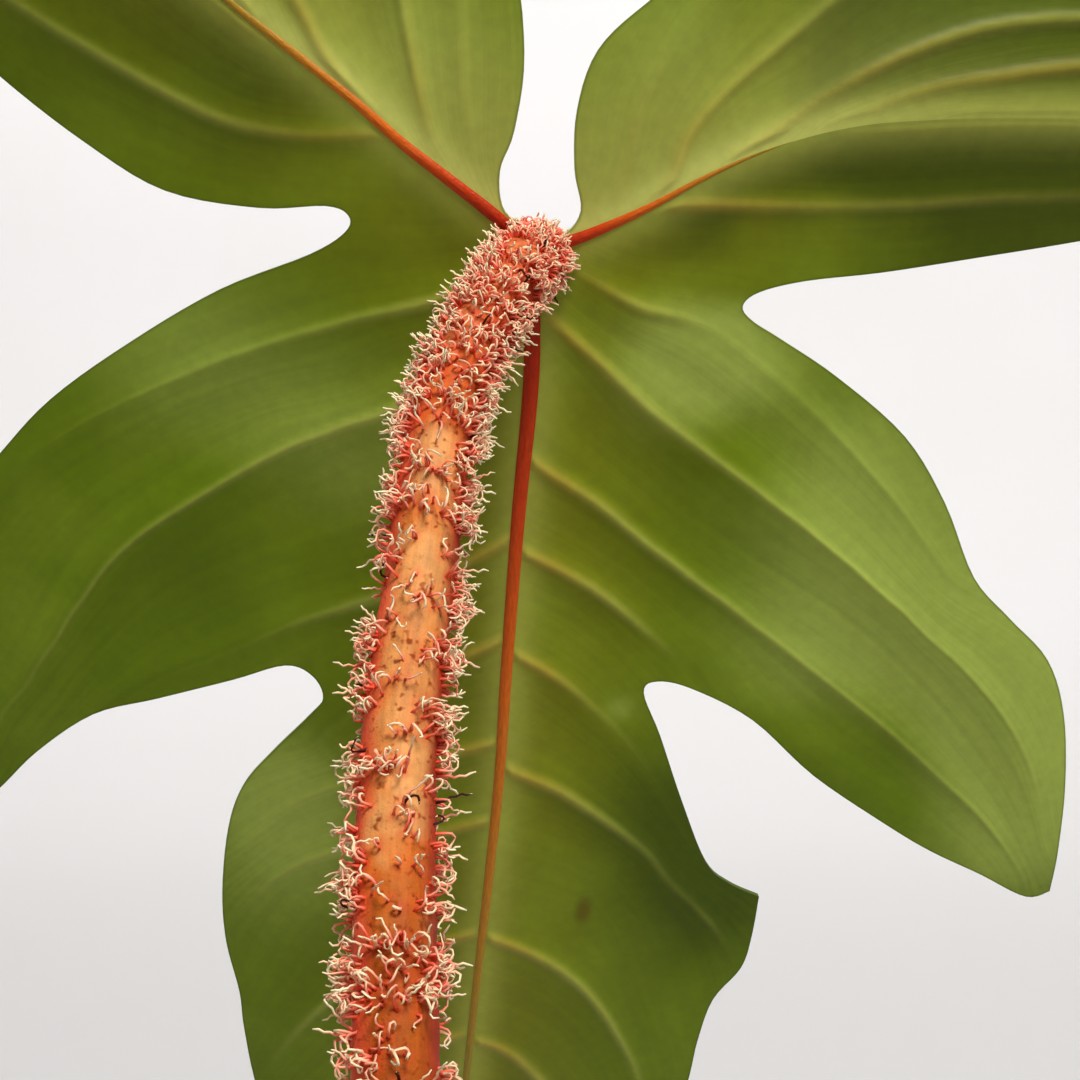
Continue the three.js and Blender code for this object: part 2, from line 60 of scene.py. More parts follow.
Array = np.ndarray
BMesh = bmesh.types.BMesh
Material = bpy.types.Material
NodeTree = bpy.types.NodeTree
Socket = bpy.types.NodeSocket
Colour = tuple[float, float, float, float]
Point2 = tuple[float, float]
Point3 = tuple[float, float, float]


def rgb(red: int, green: int, blue: int) -> Colour:
    """Turn a colour as the eye names it into the linear values that a shader takes.

    Args:
        red: Red, 0 to 255.
        green: Green, 0 to 255.
        blue: Blue, 0 to 255.

    Returns:
        The linear red, green, blue and an alpha of 1.
    """
    parts = [channel / 255 for channel in (red, green, blue)]
    linear = [p / 12.92 if p <= 0.04045 else ((p + 0.055) / 1.055) ** 2.4 for p in parts]
    return (linear[0], linear[1], linear[2], 1.0)


# Curves


def cubic(start: Array, end: Array, leave: Array, arrive: Array, steps: Array) -> Array:
    """Run a cubic between two points.

    Args:
        start: The first point.
        end: The last point.
        leave: The line's pace at the first point.
        arrive: Its pace at the last point.
        steps: The shares of the way to give points at, as a column.

    Returns:
        The points, one row each.
    """
    bend = -3 * start + 3 * end - 2 * leave - arrive
    twist = 2 * start - 2 * end + leave + arrive
    return start + leave * steps + bend * steps**2 + twist * steps**3


def planar_spline(points: Sequence[Point2], per_span: int) -> Array:
    """Run a smooth line through points of the leaf's plane.

    Args:
        points: The points, in millimetres.
        per_span: How many steps to take between two neighbouring points.

    Returns:
        The line's points, one row each, both ends included.
    """
    held = np.array([points[0], *points, points[-1]], float)
    steps = np.arange(per_span)[:, None] / per_span
    spans = []
    for before, start, end, after in zip(held, held[1:], held[2:], held[3:]):
        spans.append(cubic(start, end, (end - before) / 2, (after - start) / 2, steps))
    return np.vstack([*spans, held[-1:]])


@dataclass
class Path:
    """A smooth line through points in metres, measured along its own length in short pieces."""

    points: Sequence[Point3]
    samples: int = 40
    line: Array = field(init=False)
    reach: Array = field(init=False)

    def __post_init__(self) -> None:
        """Lay the line out and measure it."""
        given = np.array(self.points, float)
        held = np.vstack([2 * given[0] - given[1], given, 2 * given[-1] - given[-2]])
        steps = np.arange(self.samples)[:, None] / self.samples
        spans = []
        for before, start, end, after in zip(held, held[1:], held[2:], held[3:]):
            lead, span, tail = (
                np.linalg.norm(b - a) ** 0.5 for a, b in ((before, start), (start, end), (end, after))
            )
            leave = (start - before) / lead - (end - before) / (lead + span) + (end - start) / span
            arrive = (end - start) / span - (after - start) / (span + tail) + (after - end) / tail
            spans.append(cubic(start, end, leave * span, arrive * span, steps))
        self.line = np.vstack([*spans, held[-2:-1]])
        pieces = np.linalg.norm(np.diff(self.line, axis=0), axis=1)
        self.reach = np.concatenate([[0], np.cumsum(pieces)])

    @property
    def length(self) -> float:
        """The line's whole length, in metres."""
        return float(self.reach[-1])

    def at(self, share: Array) -> Array:
        """Find the points at shares of the length, one row each."""
        wanted = np.asarray(share) * self.length
        return np.stack([np.interp(wanted, self.reach, self.line[:, k]) for k in range(3)], -1)

    def frames(self, share: Array, up: Point3 | None = None) -> tuple[Array, Array, Array]:
        """Carry a set of axes along the line without twisting it.

        Args:
            share: Rising shares of the length, from 0 to 1.
            up: A direction that the first of the two across the line keeps to, if it has to.

        Returns:
            The tangents, and two directions across the line, one row for each share.
        """
        step = 0.002
        ahead = self.at(np.clip(share + step, 0, 1)) - self.at(np.clip(share - step, 0, 1))
        tangents = unit(ahead)
        across = np.cross(tangents[0], (1.0, 0.0, 0.0))
        sides = []
        for tangent in tangents:
            across = np.array(up or across, float)
            across = across - tangent * (across @ tangent)
            across = across / np.linalg.norm(across)
            sides.append(across)
        first = np.array(sides)
        return tangents, first, np.cross(tangents, first)


# Meshes

Marks = dict[str, Callable[[Array, Array, Array], Array]]


def add_skin(
    bm: BMesh,
    around: int,
    along: int,
    place: Callable[[Array, Array], Array],
    marks: Marks | None = None,
    material: int = 0,
) -> None:
    """Add a closed skin to a mesh: a grid that is rolled up, with its first and last rows drawn shut.

    Args:
        bm: The mesh that the skin is added to. Its UV map "skin" gets the turn and the share.
        around: How many faces the skin has around.
        along: How many faces it has along.
        place: Gives the points for arrays of turns (0 to 1 around) and shares (0 to 1 along).
        marks: Attributes of the points by name, each worked out from the turns, shares and points.
        material: The material index of its faces.
    """
    uv = bm.loops.layers.uv.get("skin") or bm.loops.layers.uv.new("skin")
    layers = {n: bm.verts.layers.float.get(n) or bm.verts.layers.float.new(n) for n in marks or {}}
    verts = bmesh.ops.create_grid(bm, x_segments=around, y_segments=along, size=0.5)["verts"]
    faces = list(dict.fromkeys(f for v in verts for f in v.link_faces))
    for face in faces:
        face.material_index = material
        for loop in face.loops:
            loop[uv].uv = loop.vert.co.xy + Vector((0.5, 0.5))
    turn, share = np.clip(np.array([v.co.xy for v in verts]).T + 0.5, 0, 1)
    spots = place(turn, share)
    for vert, spot in zip(verts, spots):
        vert.co = spot
    for name, mark in (marks or {}).items():
        for vert, value in zip(verts, mark(turn, share, spots)):
            vert[layers[name]] = value
    bmesh.ops.remove_doubles(bm, verts=verts, dist=1e-7)
    bmesh.ops.recalc_face_normals(bm, faces=[f for f in faces if f.is_valid])


def add_tube(
    bm: BMesh,
    path: Path,
    radius_at: Callable[[Array, Array], Array],
    around: int,
    along: int,
    up: Point3 | None = None,
    twist: float = 0.0,
    marks: Marks | None = None,
    material: int = 0,
) -> None:
    """Add a round skin along a path, closed at both ends.

    Args:
        bm: The mesh that it is added to.
        path: The line through its middle.
        radius_at: Gives the radii for arrays of turns and shares.
        around: How many faces it has around.
        along: How many faces it has along.
        up: The direction that a turn of 0 looks in, where the path shouldn't choose it.
        twist: How many turns its skin winds from the first end to the last.
        marks: Attributes of the points, as for a skin.
        material: The material index of its faces.
    """

    def place(turn: Array, share: Array) -> Array:
        """Put each grid point at its radius from the path.

        Args:
            turn: The points' turns.
            share: Their shares of the length.

        Returns:
            The points, one row each.
        """
        stations, which = np.unique(np.round(share, 6), return_inverse=True)
        _, first, second = path.frames(stations, up)
        angle = 2 * math.pi * (turn + twist * share)[:, None]
        spoke = first[which] * np.cos(angle) + second[which] * np.sin(angle)
        closed = (share > 1e-6) & (share < 1 - 1e-6)
        return path.at(stations)[which] + spoke * (radius_at(turn, share) * closed)[:, None]

    add_skin(bm, around, along, place, marks, material)


def add_lathe(bm: BMesh, profile: Sequence[Point2], steps: int) -> None:
    """Spin a profile of radii and heights once round the upright axis.

    Args:
        bm: The mesh that it is added to.
        profile: The profile's points, in metres. It may start and end on the axis.
        steps: How many steps the turn has.
    """
    verts = [bm.verts.new((radius, 0, height)) for radius, height in profile]
    edges = [bm.edges.new(pair) for pair in zip(verts, verts[1:])]
    bmesh.ops.spin(
        bm, geom=verts + edges, cent=(0, 0, 0), axis=(0, 0, 1), dvec=(0, 0, 0),
        angle=2 * math.pi, steps=steps, use_merge=True, use_duplicate=False,
    )
    bmesh.ops.remove_doubles(bm, verts=bm.verts[:], dist=1e-6)
    bmesh.ops.recalc_face_normals(bm, faces=bm.faces[:])


def strands(name: str, lines: Array, radii: Array, tones: Array) -> BMesh:
    """Make many thin three-sided strands, each closed at both ends.

    Args:
        name: A name for the curve that they start from.
        lines: Each strand's points, as an array of strands by points by three.
        radii: Each strand's radii at its points.
        tones: A number for each strand, kept as the attribute "tone".

    Returns:
        The mesh. The first coordinate of its UV map runs from 0 at each root to 1 at each tip.
    """
    ring = bpy.data.curves.new(name + "_ring", "CURVE")
    corners = ring.splines.new("POLY")
    corners.points.add(2)
    corners.use_cyclic_u = True
    for corner, angle in zip(corners.points, (0, 2 * math.pi / 3, 4 * math.pi / 3)):
        corner.co = (math.cos(angle), math.sin(angle), 0, 1)
    section = show(name + "_ring", ring)
    curve = bpy.data.curves.new(name + "_curve", "CURVE")
    curve.dimensions = "3D"
    curve.bevel_mode = "OBJECT"
    curve.bevel_object = section
    curve.use_fill_caps = True
    points = lines.shape[1]
    for line, radius in zip(lines, radii):
        spline = curve.splines.new("POLY")
        spline.points.add(points - 1)
        spline.points.foreach_set("co", np.hstack([line, np.ones((points, 1))]).ravel())
        spline.points.foreach_set("radius", radius)
    holder = show(name + "_curve", curve)
    shape = holder.evaluated_get(bpy.context.evaluated_depsgraph_get())
    mesh = bpy.data.meshes.new_from_object(shape)
    tone = mesh.attributes.new("tone", "FLOAT", "POINT")
    sides_of_ends, sides_of_shafts = np.repeat(tones, 6), np.repeat(tones, 3 * points)
    tone.data.foreach_set("value", np.concatenate([sides_of_ends, sides_of_shafts]))
    bm = bmesh.new()
    bm.from_mesh(mesh)
    bmesh.ops.remove_doubles(bm, verts=bm.verts[:], dist=1e-8)
    bmesh.ops.recalc_face_normals(bm, faces=bm.faces[:])
    bpy.data.meshes.remove(mesh)
    for made in (section, holder):
        bpy.data.objects.remove(made)
    for used in (ring, curve):
        bpy.data.curves.remove(used)
    return bm


def as_mesh(bm: BMesh, name: str) -> bpy.types.Mesh:
    """Keep an edit mesh as plain mesh data, smoothly shaded.

    Args:
        bm: The edit mesh, which is freed.
        name: The data's name.

    Returns:
        The data.
    """
    mesh = bpy.data.meshes.new(name)
    bm.to_mesh(mesh)
    bm.free()
    mesh.polygons.foreach_set("use_smooth", np.ones(len(mesh.polygons), bool))
    return mesh


def show(name: str, data: bpy.types.ID) -> bpy.types.Object:
    """Put data into the scene.

    Args:
        name: The object's name.
        data: Its mesh, curve, light or camera.

    Returns:
        The object.
    """
    made = bpy.data.objects.new(name, data)
    bpy.context.scene.collection.objects.link(made)
    return made


def values_of(items: bpy.types.bpy_prop_collection, name: str, kind: type, width: int = 1) -> Array:
    """Read one property of every item.

    Args:
        items: The items.
        name: The property's name.
        kind: The numbers' type.
        width: How many numbers each item has.

    Returns:
        The numbers, in one row.
    """
    values = np.empty(len(items) * width, kind)
    items.foreach_get(name, values)
    return values


def add_piece(
    bm: BMesh,
    name: str,
    materials: Sequence[Material],
    stands_for: Sequence[str],
) -> bpy.types.Object:
    """Put a finished mesh into the scene as a piece of the plant.

    Args:
        bm: The mesh, with its place already in its points.
        name: The piece's name.
        materials: Its materials, in the order of its faces' indices.
        stands_for: The solids that it is shown in place of.

    Returns:
        The piece's object.
    """
    mesh = as_mesh(bm, name)
    for material in materials:
        mesh.materials.append(material)
    piece = show(name, mesh)
    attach(piece, "root")
    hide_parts(*stands_for)
    log.info("%s: %d faces", name, len(mesh.polygons))
    return piece


def bell(value: Array, width: float) -> Array:
    """Give a bell that is 1 where the value is 0 and small beyond the width."""
    return np.exp(-((value / width) ** 2))


def unit(vectors: Array) -> Array:
    """Bring vectors, one row each, to a length of 1."""
    return vectors / np.linalg.norm(vectors, axis=1, keepdims=True)


def circle(turn: Array, radius: Array | float) -> tuple[Array, Array]:
    """Find x and y on a circle after part of a turn."""
    return radius * np.cos(2 * math.pi * turn), radius * np.sin(2 * math.pi * turn)


def in_metres(route: Sequence[Point3]) -> list[Point3]:
    """Turn points given in millimetres into metres."""
    return [tuple(c * MM for c in spot) for spot in route]


def rounded_ends(share: Array, length: float, radius: float) -> Array:
    """Draw a tube's ends shut over half a radius, as a factor of its radius."""
    room = np.minimum(share, 1 - share) * length / (0.5 * radius)
    return np.sqrt(np.clip(1 - (1 - np.clip(room, 0, 1)) ** 2, 0, 1))


# Finishes


@dataclass
class Graph:
    """A writer of shader nodes into one tree, a material's or a group's."""

    tree: NodeTree

    def add(self, kind: str, inputs: dict | None = None, **settings: object) -> bpy.types.Node:
        """Add a node.

        Args:
            kind: The node's type.
            inputs: What its sockets get, by name or number: another socket or a plain value.
            **settings: The node's own settings.

        Returns:
            The node.
        """
        node = self.tree.nodes.new(kind)
        for key, value in settings.items():
            setattr(node, key, value)
        self.fill(node.inputs, inputs or {})
        return node

    def fill(self, sockets: bpy.types.NodeInputs, values: dict) -> None:
        """Fill a node's sockets.

        Args:
            sockets: The node's inputs.
            values: What they get, by name or number: another socket or a plain value.
        """
        for key, value in values.items():
            if isinstance(value, Socket):
                self.tree.links.new(value, sockets[key])
            else:
                sockets[key].default_value = value

    def math(self, operation: str, *values: object, clamp: bool = False) -> Socket:
        """Work out a number from other numbers."""
        inputs = dict(enumerate(values))
        return self.add("ShaderNodeMath", inputs, operation=operation, use_clamp=clamp).outputs[0]

    def muladd(self, value: object, factor: object, extra: object) -> Socket:
        """Multiply a number by a factor and add another number."""
        return self.math("MULTIPLY_ADD", value, factor, extra)

    def times(self, *values: object) -> Socket:
        """Multiply any count of numbers.

        Args:
            *values: The numbers, as sockets or plain values.

        Returns:
            Their product.
        """
        product = values[0]
        for value in values[1:]:
            product = self.math("MULTIPLY", product, value)
        return product

    def fade(self, value: object, start: object, end: object, low: float = 0, high: float = 1) -> Socket:
        """Turn a number into another one that goes softly from low to high between two values."""
        inputs = {"Value": value, "From Min": start, "From Max": end, "To Min": low, "To Max": high}
        return self.add("ShaderNodeMapRange", inputs, interpolation_type="SMOOTHSTEP").outputs[0]

    def falloff(self, value: object, width: object) -> Socket:
        """Give a bell that is 1 where the value is 0 and small beyond the width."""
        scaled = self.math("DIVIDE", value, width)
        return self.math("EXPONENT", self.times(scaled, scaled, -1.0))

    def mix(self, share: object, first: object, second: object, blend: str = "MIX") -> Socket:
        """Mix two colours."""
        inputs = {0: share, 6: first, 7: second}
        return self.add("ShaderNodeMix", inputs, data_type="RGBA", blend_type=blend).outputs[2]

    def ramp(self, value: object, stops: Sequence[tuple[float, Colour]]) -> Socket:
        """Turn a number into a colour.

        Args:
            value: The number.
            stops: Places and colours: the first one, the last one, then those between.

        Returns:
            The colour.
        """
        node = self.add("ShaderNodeValToRGB", {"Fac": value})
        elements = node.color_ramp.elements
        for index, (place, shade) in enumerate(stops):
            element = elements[index] if index < 2 else elements.new(place)
            element.position, element.color = place, shade
        return node.outputs[0]

    def shaded(self, tint: object, factor: object) -> Socket:
        """Make a colour lighter or darker by a factor."""
        grey = self.add("ShaderNodeCombineXYZ", {0: factor, 1: factor, 2: factor}).outputs[0]
        return self.mix(1.0, tint, grey, "MULTIPLY")

    def noise(self, vector: object, scale: object, detail: float = 3.0, rough: float = 0.55) -> Socket:
        """Add soft noise between 0 and 1."""
        inputs = {"Vector": vector, "Scale": scale, "Detail": detail, "Roughness": rough}
        return self.add("ShaderNodeTexNoise", inputs).outputs[0]

    def cells(self, vector: object, scale: float) -> tuple[Socket, Socket]:
        """Add scattered points: the distance to the nearest one, and a random number for it."""
        node = self.add("ShaderNodeTexVoronoi", {"Vector": vector, "Scale": scale})
        return node.outputs[0], self.add("ShaderNodeSeparateColor", {0: node.outputs[1]}).outputs[0]

    def place(self) -> Socket:
        """Read the place on the object, in metres."""
        return self.add("ShaderNodeTexCoord").outputs["Object"]

    def chart(self, name: str, across: float = 1.0, along: float = 1.0) -> tuple[Socket, ...]:
        """Read a UV map.

        Args:
            name: The map's name.
            across: How much its first coordinate is stretched in the vector.
            along: How much its second one is.

        Returns:
            Its two coordinates, and both stretched as a vector.
        """
        flat = self.add("ShaderNodeUVMap", uv_map=name).outputs[0]
        parts = self.add("ShaderNodeSeparateXYZ", {0: flat}).outputs
        stretched = {0: self.times(parts[0], across), 1: self.times(parts[1], along)}
        return parts[0], parts[1], self.add("ShaderNodeCombineXYZ", stretched).outputs[0]

    def part(self, vector: object, axis: int) -> Socket:
        """Take one coordinate of a vector."""
        return self.add("ShaderNodeSeparateXYZ", {0: vector}).outputs[axis]

    def read(self, name: str) -> Socket:
        """Read an attribute of the mesh."""
        return self.add("ShaderNodeAttribute", attribute_name=name).outputs["Fac"]

    def use(self, group: NodeTree, inputs: dict) -> bpy.types.NodeOutputs:
        """Place a shared effect and give it this material's own values."""
        return self.add("ShaderNodeGroup", inputs, node_tree=group).outputs

    def grain(self, vector: object, cells: float, depth: float) -> bpy.types.NodeOutputs:
        """Place the fine grain, with its cells per metre and its depth: its height and its mottle."""
        return self.use(grain_group(), {"Vector": vector, "Cells per metre": cells, "Depth": depth})

    def patches(self, vector: object, count: float, share: float, softness: float) -> Socket:
        """Place the patches, with so many per metre: their mask."""
        inputs = {"Vector": vector, "Patches per metre": count, "Share": share, "Softness": softness}
        return self.use(patch_group(), inputs)[0]

    def veins(self, width: float) -> tuple[dict[str, Socket], dict[str, Socket]]:
        """Place the side veins that a blade's charts and attributes describe.

        Args:
            width: A vein's half width, in millimetres.

        Returns:
            What the blade's charts and attributes hold, and what the group gives, both by name.
        """
        number, reach, _ = self.chart("veins")
        base, spacing, _ = self.chart("panel")
        known = {
            "Number": number, "Reach": reach, "Spacing": self.times(spacing, PLANE_UNIT),
            "Rib gap": self.read("rib_gap"), "Margin gap": self.read("margin_gap"),
        }
        made = self.use(vein_group(), known | {"Width": width})
        return known | {"Base": base}, {socket.name: socket for socket in made}


def open_group(
    name: str, inputs: dict[str, float | None], outputs: Sequence[str]
) -> tuple[Graph, bpy.types.NodeOutputs, bpy.types.NodeInputs]:
    """Start a shader group.

    Args:
        name: The group's name.
        inputs: Its inputs with their first values, or None where the input is a vector.
        outputs: The names of its outputs, which are numbers.

    Returns:
        The group's writer, the sockets that it reads and the sockets that it fills.
    """
    tree = bpy.data.node_groups.new(name, "ShaderNodeTree")
    for label, value in inputs.items():
        kind = "NodeSocketVector" if value is None else "NodeSocketFloat"
        socket = tree.interface.new_socket(label, in_out="INPUT", socket_type=kind)
        if value is not None:
            socket.default_value = value
    for label in outputs:
        tree.interface.new_socket(label, in_out="OUTPUT", socket_type="NodeSocketFloat")
    graph = Graph(tree)
    return graph, graph.add("NodeGroupInput").outputs, graph.add("NodeGroupOutput").inputs


@cache
def grain_group() -> NodeTree:
    """Build the fine grain of skins, bark, crumbs and fired clay: small cells over soft lumps.

    Returns:
        The group.
    """
    graph, given, filled = open_group(
        "fine_grain", {"Vector": None, "Cells per metre": 2000.0, "Depth": 0.00003}, ("Height", "Mottle")
    )
    size = given["Cells per metre"]
    gap = graph.add("ShaderNodeTexVoronoi", {"Vector": given["Vector"], "Scale": size}).outputs[0]
    soft = graph.noise(given["Vector"], graph.times(size, 0.13), 4.0, 0.5)
    height = graph.times(graph.muladd(soft, 2.0, gap), given["Depth"])
    graph.fill(filled, {"Height": height, "Mottle": soft})
    return graph.tree


@cache
def patch_group() -> NodeTree:
    """Build irregular patches with soft rims, for the clay's bloom, the bark's flecks and the crumbs.

    Returns:
        The group.
    """
    graph, given, filled = open_group(
        "patches", {"Vector": None, "Patches per metre": 30.0, "Share": 0.5, "Softness": 0.1}, ("Mask",)
    )
    field_of_lumps = {
        "Vector": given["Vector"], "Scale": given["Patches per metre"],
        "Detail": 7.0, "Roughness": 0.62, "Distortion": 0.3,
    }
    lumps = graph.add("ShaderNodeTexNoise", field_of_lumps).outputs[0]
    level = graph.muladd(given["Share"], -0.5, 0.75)
    low, high = (graph.math(side, level, given["Softness"]) for side in ("SUBTRACT", "ADD"))
    graph.fill(filled, {"Mask": graph.fade(lumps, low, high)})
    return graph.tree


@cache
def vein_group() -> NodeTree:
    """Build the net of side veins that both faces of a blade show, worked out in millimetres.

    Returns:
        The group. "Vein" and "Fine" are the strong and the faint veins, "Fibre" the streaks between.
    """
    graph, given, filled = open_group(
        "side_veins",
        {"Number": 0.0, "Reach": 0.0, "Spacing": 10.0, "Rib gap": 0.0, "Margin gap": 0.0, "Width": 0.8},
        ("Vein", "Fine", "Fibre", "Height"),
    )
    number, spacing = given["Number"], given["Spacing"]
    gap = graph.times(graph.math("PINGPONG", number, 0.5), spacing)
    width = graph.times(given["Width"], graph.fade(given["Rib gap"], 0, 60, 1.3, 0.75))
    vein = graph.falloff(gap, width)
    vein = graph.times(vein, graph.fade(given["Margin gap"], 1, 16), graph.fade(spacing, 2.2, 6))
    vein = graph.times(vein, graph.fade(given["Rib gap"], 0.3, 1.6))
    streaks = {0: graph.times(number, 7.0), 1: graph.times(given["Reach"], 1.7)}
    along = graph.add("ShaderNodeCombineXYZ", streaks).outputs[0]
    fibre = graph.noise(along, 1.0, 3.0, 0.6)
    wander = graph.muladd(graph.noise(along, 0.23, 1.0), 0.3, graph.times(number, 4.0))
    fine_gap = graph.times(graph.math("PINGPONG", wander, 0.5), spacing, 0.25)
    here = graph.fade(graph.noise(along, 0.4, 2.0), 0.42, 0.62)
    fine = graph.times(graph.falloff(fine_gap, 0.5), here, graph.fade(spacing, 6, 13))
    height = graph.muladd(fibre, 0.12, graph.times(vein, 0.8))
    graph.fill(filled, {"Vein": vein, "Fine": fine, "Fibre": fibre, "Height": height})
    return graph.tree


class Finish(Graph):
    """A writer of one material's nodes."""

    def __init__(self, name: str, sheen: float) -> None:
        """Start the material.

        Args:
            name: Its name.
            sheen: Its specular level.
        """
        self.material = bpy.data.materials.new(name)
        self.material.use_nodes = True
        super().__init__(self.material.node_tree)
        self.shader = self.tree.nodes["Principled BSDF"].inputs
        self.shader["Specular IOR Level"].default_value = sheen

    def dress(self, tint: Socket, gloss: object, height: Socket | None = None) -> Material:
        """Finish the material.

        Args:
            tint: Its colour.
            gloss: Its roughness, as a socket or a plain value.
            height: The height that bends its shading, in metres, if it has one.

        Returns:
            The material.
        """
        look = {"Base Color": tint, "Roughness": gloss}
        if height is not None:
            bump = {"Height": height, "Strength": 1.0, "Distance": 1.0}
            look["Normal"] = self.add("ShaderNodeBump", bump).outputs[0]
        self.fill(self.shader, look)
        return self.material


@dataclass(frozen=True)
class Underside:
    """The pale, satin underside of a blade, with raised yellowish side veins.

    It is olive beside the ribs. The upper halves of its base lobes carry painted backlight, a
    yellow-green of light shining through, and the shade attribute lays on pale as painted sheen and
    deep as painted shade. The blemish is the middle of a small worn mark. It and a vein's half width
    are in the blade's millimetres, and the depth, which is how high the veins and streaks stand, is in
    metres.
    """

    name: str = "leaf_underside"
    lamina: Colour = rgb(102, 126, 12)
    inner: Colour = rgb(118, 124, 18)
    light: Colour = rgb(127, 148, 32)
    # pale is painted sheen and highlights, and deep is painted shade; the shade attribute lays both on.
    pale: Colour = rgb(182, 200, 96)
    deep: Colour = rgb(62, 77, 6)
    vein: Colour = rgb(188, 194, 90)
    vein_root: Colour = rgb(204, 158, 60)
    # Painted backlight: the yellow-green of light shining through the base lobes.
    painted_backlight: Colour = rgb(208, 213, 116)
    edge: Colour = rgb(66, 80, 24)
    worn: Colour = rgb(92, 62, 16)
    blemish: Point2 | None = None
    vein_width: float = 0.62
    depth: float = 0.00038
    roughness: Point2 = (0.42, 0.52)

    def build(self) -> Material:
        """Build the material.

        Returns:
            The material.
        """
        graph = Finish(self.name, 0.11)
        known, net = graph.veins(self.vein_width)
        base, reach = known["Base"], known["Reach"]
        rib_gap, margin_gap = known["Rib gap"], known["Margin gap"]
        vein, fine, fibre = net["Vein"], net["Fine"], net["Fibre"]
        x, y, plane = graph.chart("leaf")
        bands = graph.noise(plane, 4.0, 2.0)
        tint = graph.mix(graph.falloff(rib_gap, 20), self.lamina, self.inner)
        tint = graph.mix(graph.fade(bands, 0.42, 0.72, 0, 0.5), tint, self.light)
        # The shade attribute holds painted light and shade: above 0 it mixes in pale as painted sheen and
        # highlights, and below 0 deep as painted shade, with a little random banding added.
        shade = graph.muladd(graph.math("SUBTRACT", bands, 0.5), 0.25, graph.read("shade"))
        tint = graph.mix(graph.fade(shade, 0, 1.1, 0, 0.62), tint, self.pale)
        tint = graph.mix(graph.fade(shade, 0, -1.1, 0, 0.8), tint, self.deep)
        tint = graph.shaded(tint, graph.fade(fibre, 0.2, 0.8, 0.9, 1.1))
        # Painted backlight on the upper halves of the base lobes: broad near the junction, with a narrow band
        # along the ribs.
        painted_backlight_spread = graph.times(graph.fade(rib_gap, 30, 0, 0.1, 0.42), graph.falloff(reach, 0.42))
        seam = graph.times(graph.falloff(rib_gap, 2.4), graph.fade(reach, 0.6, 0.3, 0.1, 0.75))
        tint = graph.mix(graph.times(base, graph.math("ADD", painted_backlight_spread, seam)), tint, self.painted_backlight)
        tint = graph.shaded(tint, graph.math("MULTIPLY_ADD", fine, -0.06, 1.0))
        thread = graph.mix(graph.falloff(rib_gap, 9), self.vein, self.vein_root)
        strength = graph.times(graph.fade(base, 0, 1, 0.5, 0.32), graph.fade(rib_gap, 8, 70, 1, 0.4))
        tint = graph.mix(graph.times(vein, strength), tint, thread)
        tint = graph.mix(graph.times(graph.falloff(rib_gap, 3.2), 0.5), tint, self.vein)
        tint = graph.mix(graph.fade(margin_gap, 0.4, 0.1, 0, 0.4), tint, self.edge)
        if self.blemish:
            across = graph.math("ADD", x, -self.blemish[0] / PLANE_UNIT)
            down = graph.math("ADD", y, -self.blemish[1] / PLANE_UNIT)
            square = graph.math("ADD", graph.times(across, across, 4.0), graph.times(down, down))
            oval = graph.math("POWER", square, 0.5)
            ragged = graph.muladd(graph.noise(plane, 60.0, 3.0), 0.012, oval)
            tint = graph.mix(graph.fade(ragged, 0.046, 0.012, 0, 0.6), tint, self.worn)
        tint = graph.shaded(tint, graph.fade(graph.noise(plane, 55.0, 2.0), 0.25, 0.75, 0.95, 1.05))
        gloss = graph.fade(fibre, 0.2, 0.8, *self.roughness)
        return graph.dress(tint, gloss, graph.times(net["Height"], self.depth))


@dataclass(frozen=True)
class UpperSide:
    """The deep green, glossier upper side of a blade, with pale sunken ribs and veins.

    A vein's half width is in millimetres, and its depth in metres.
    """

    name: str = "leaf_upper_side"
    lamina: Colour = rgb(52, 88, 30)
    light: Colour = rgb(84, 120, 44)
    vein: Colour = rgb(128, 148, 78)
    rib: Colour = rgb(150, 160, 96)
    vein_width: float = 0.6
    depth: float = 0.0003
    roughness: Point2 = (0.27, 0.38)

    def build(self) -> Material:
        """Build the material.

        Returns:
            The material.
        """
        graph = Finish(self.name, 0.5)
        known, net = graph.veins(self.vein_width)
        rib_gap = known["Rib gap"]
        _, _, plane = graph.chart("leaf")
        clouds = graph.fade(graph.noise(plane, 3.5, 3.0), 0.4, 0.7, 0, 0.6)
        tint = graph.mix(clouds, self.lamina, self.light)
        tint = graph.shaded(tint, graph.fade(net["Fibre"], 0.2, 0.8, 0.88, 1.12))
        lines = graph.muladd(net["Fine"], 0.2, graph.times(net["Vein"], 0.6))
        tint = graph.mix(lines, tint, self.vein)
        tint = graph.mix(graph.times(graph.falloff(rib_gap, 1.3), 0.9), tint, self.rib)
        grain = graph.grain(plane, 520.0, 0.000008)
        sunk = graph.math("ADD", net["Height"], graph.times(graph.falloff(rib_gap, 1.8), 1.6))
        bump = graph.muladd(sunk, -self.depth, grain[0])
        gloss = graph.fade(grain[1], 0.3, 0.7, *self.roughness)
        return graph.dress(tint, gloss, bump)


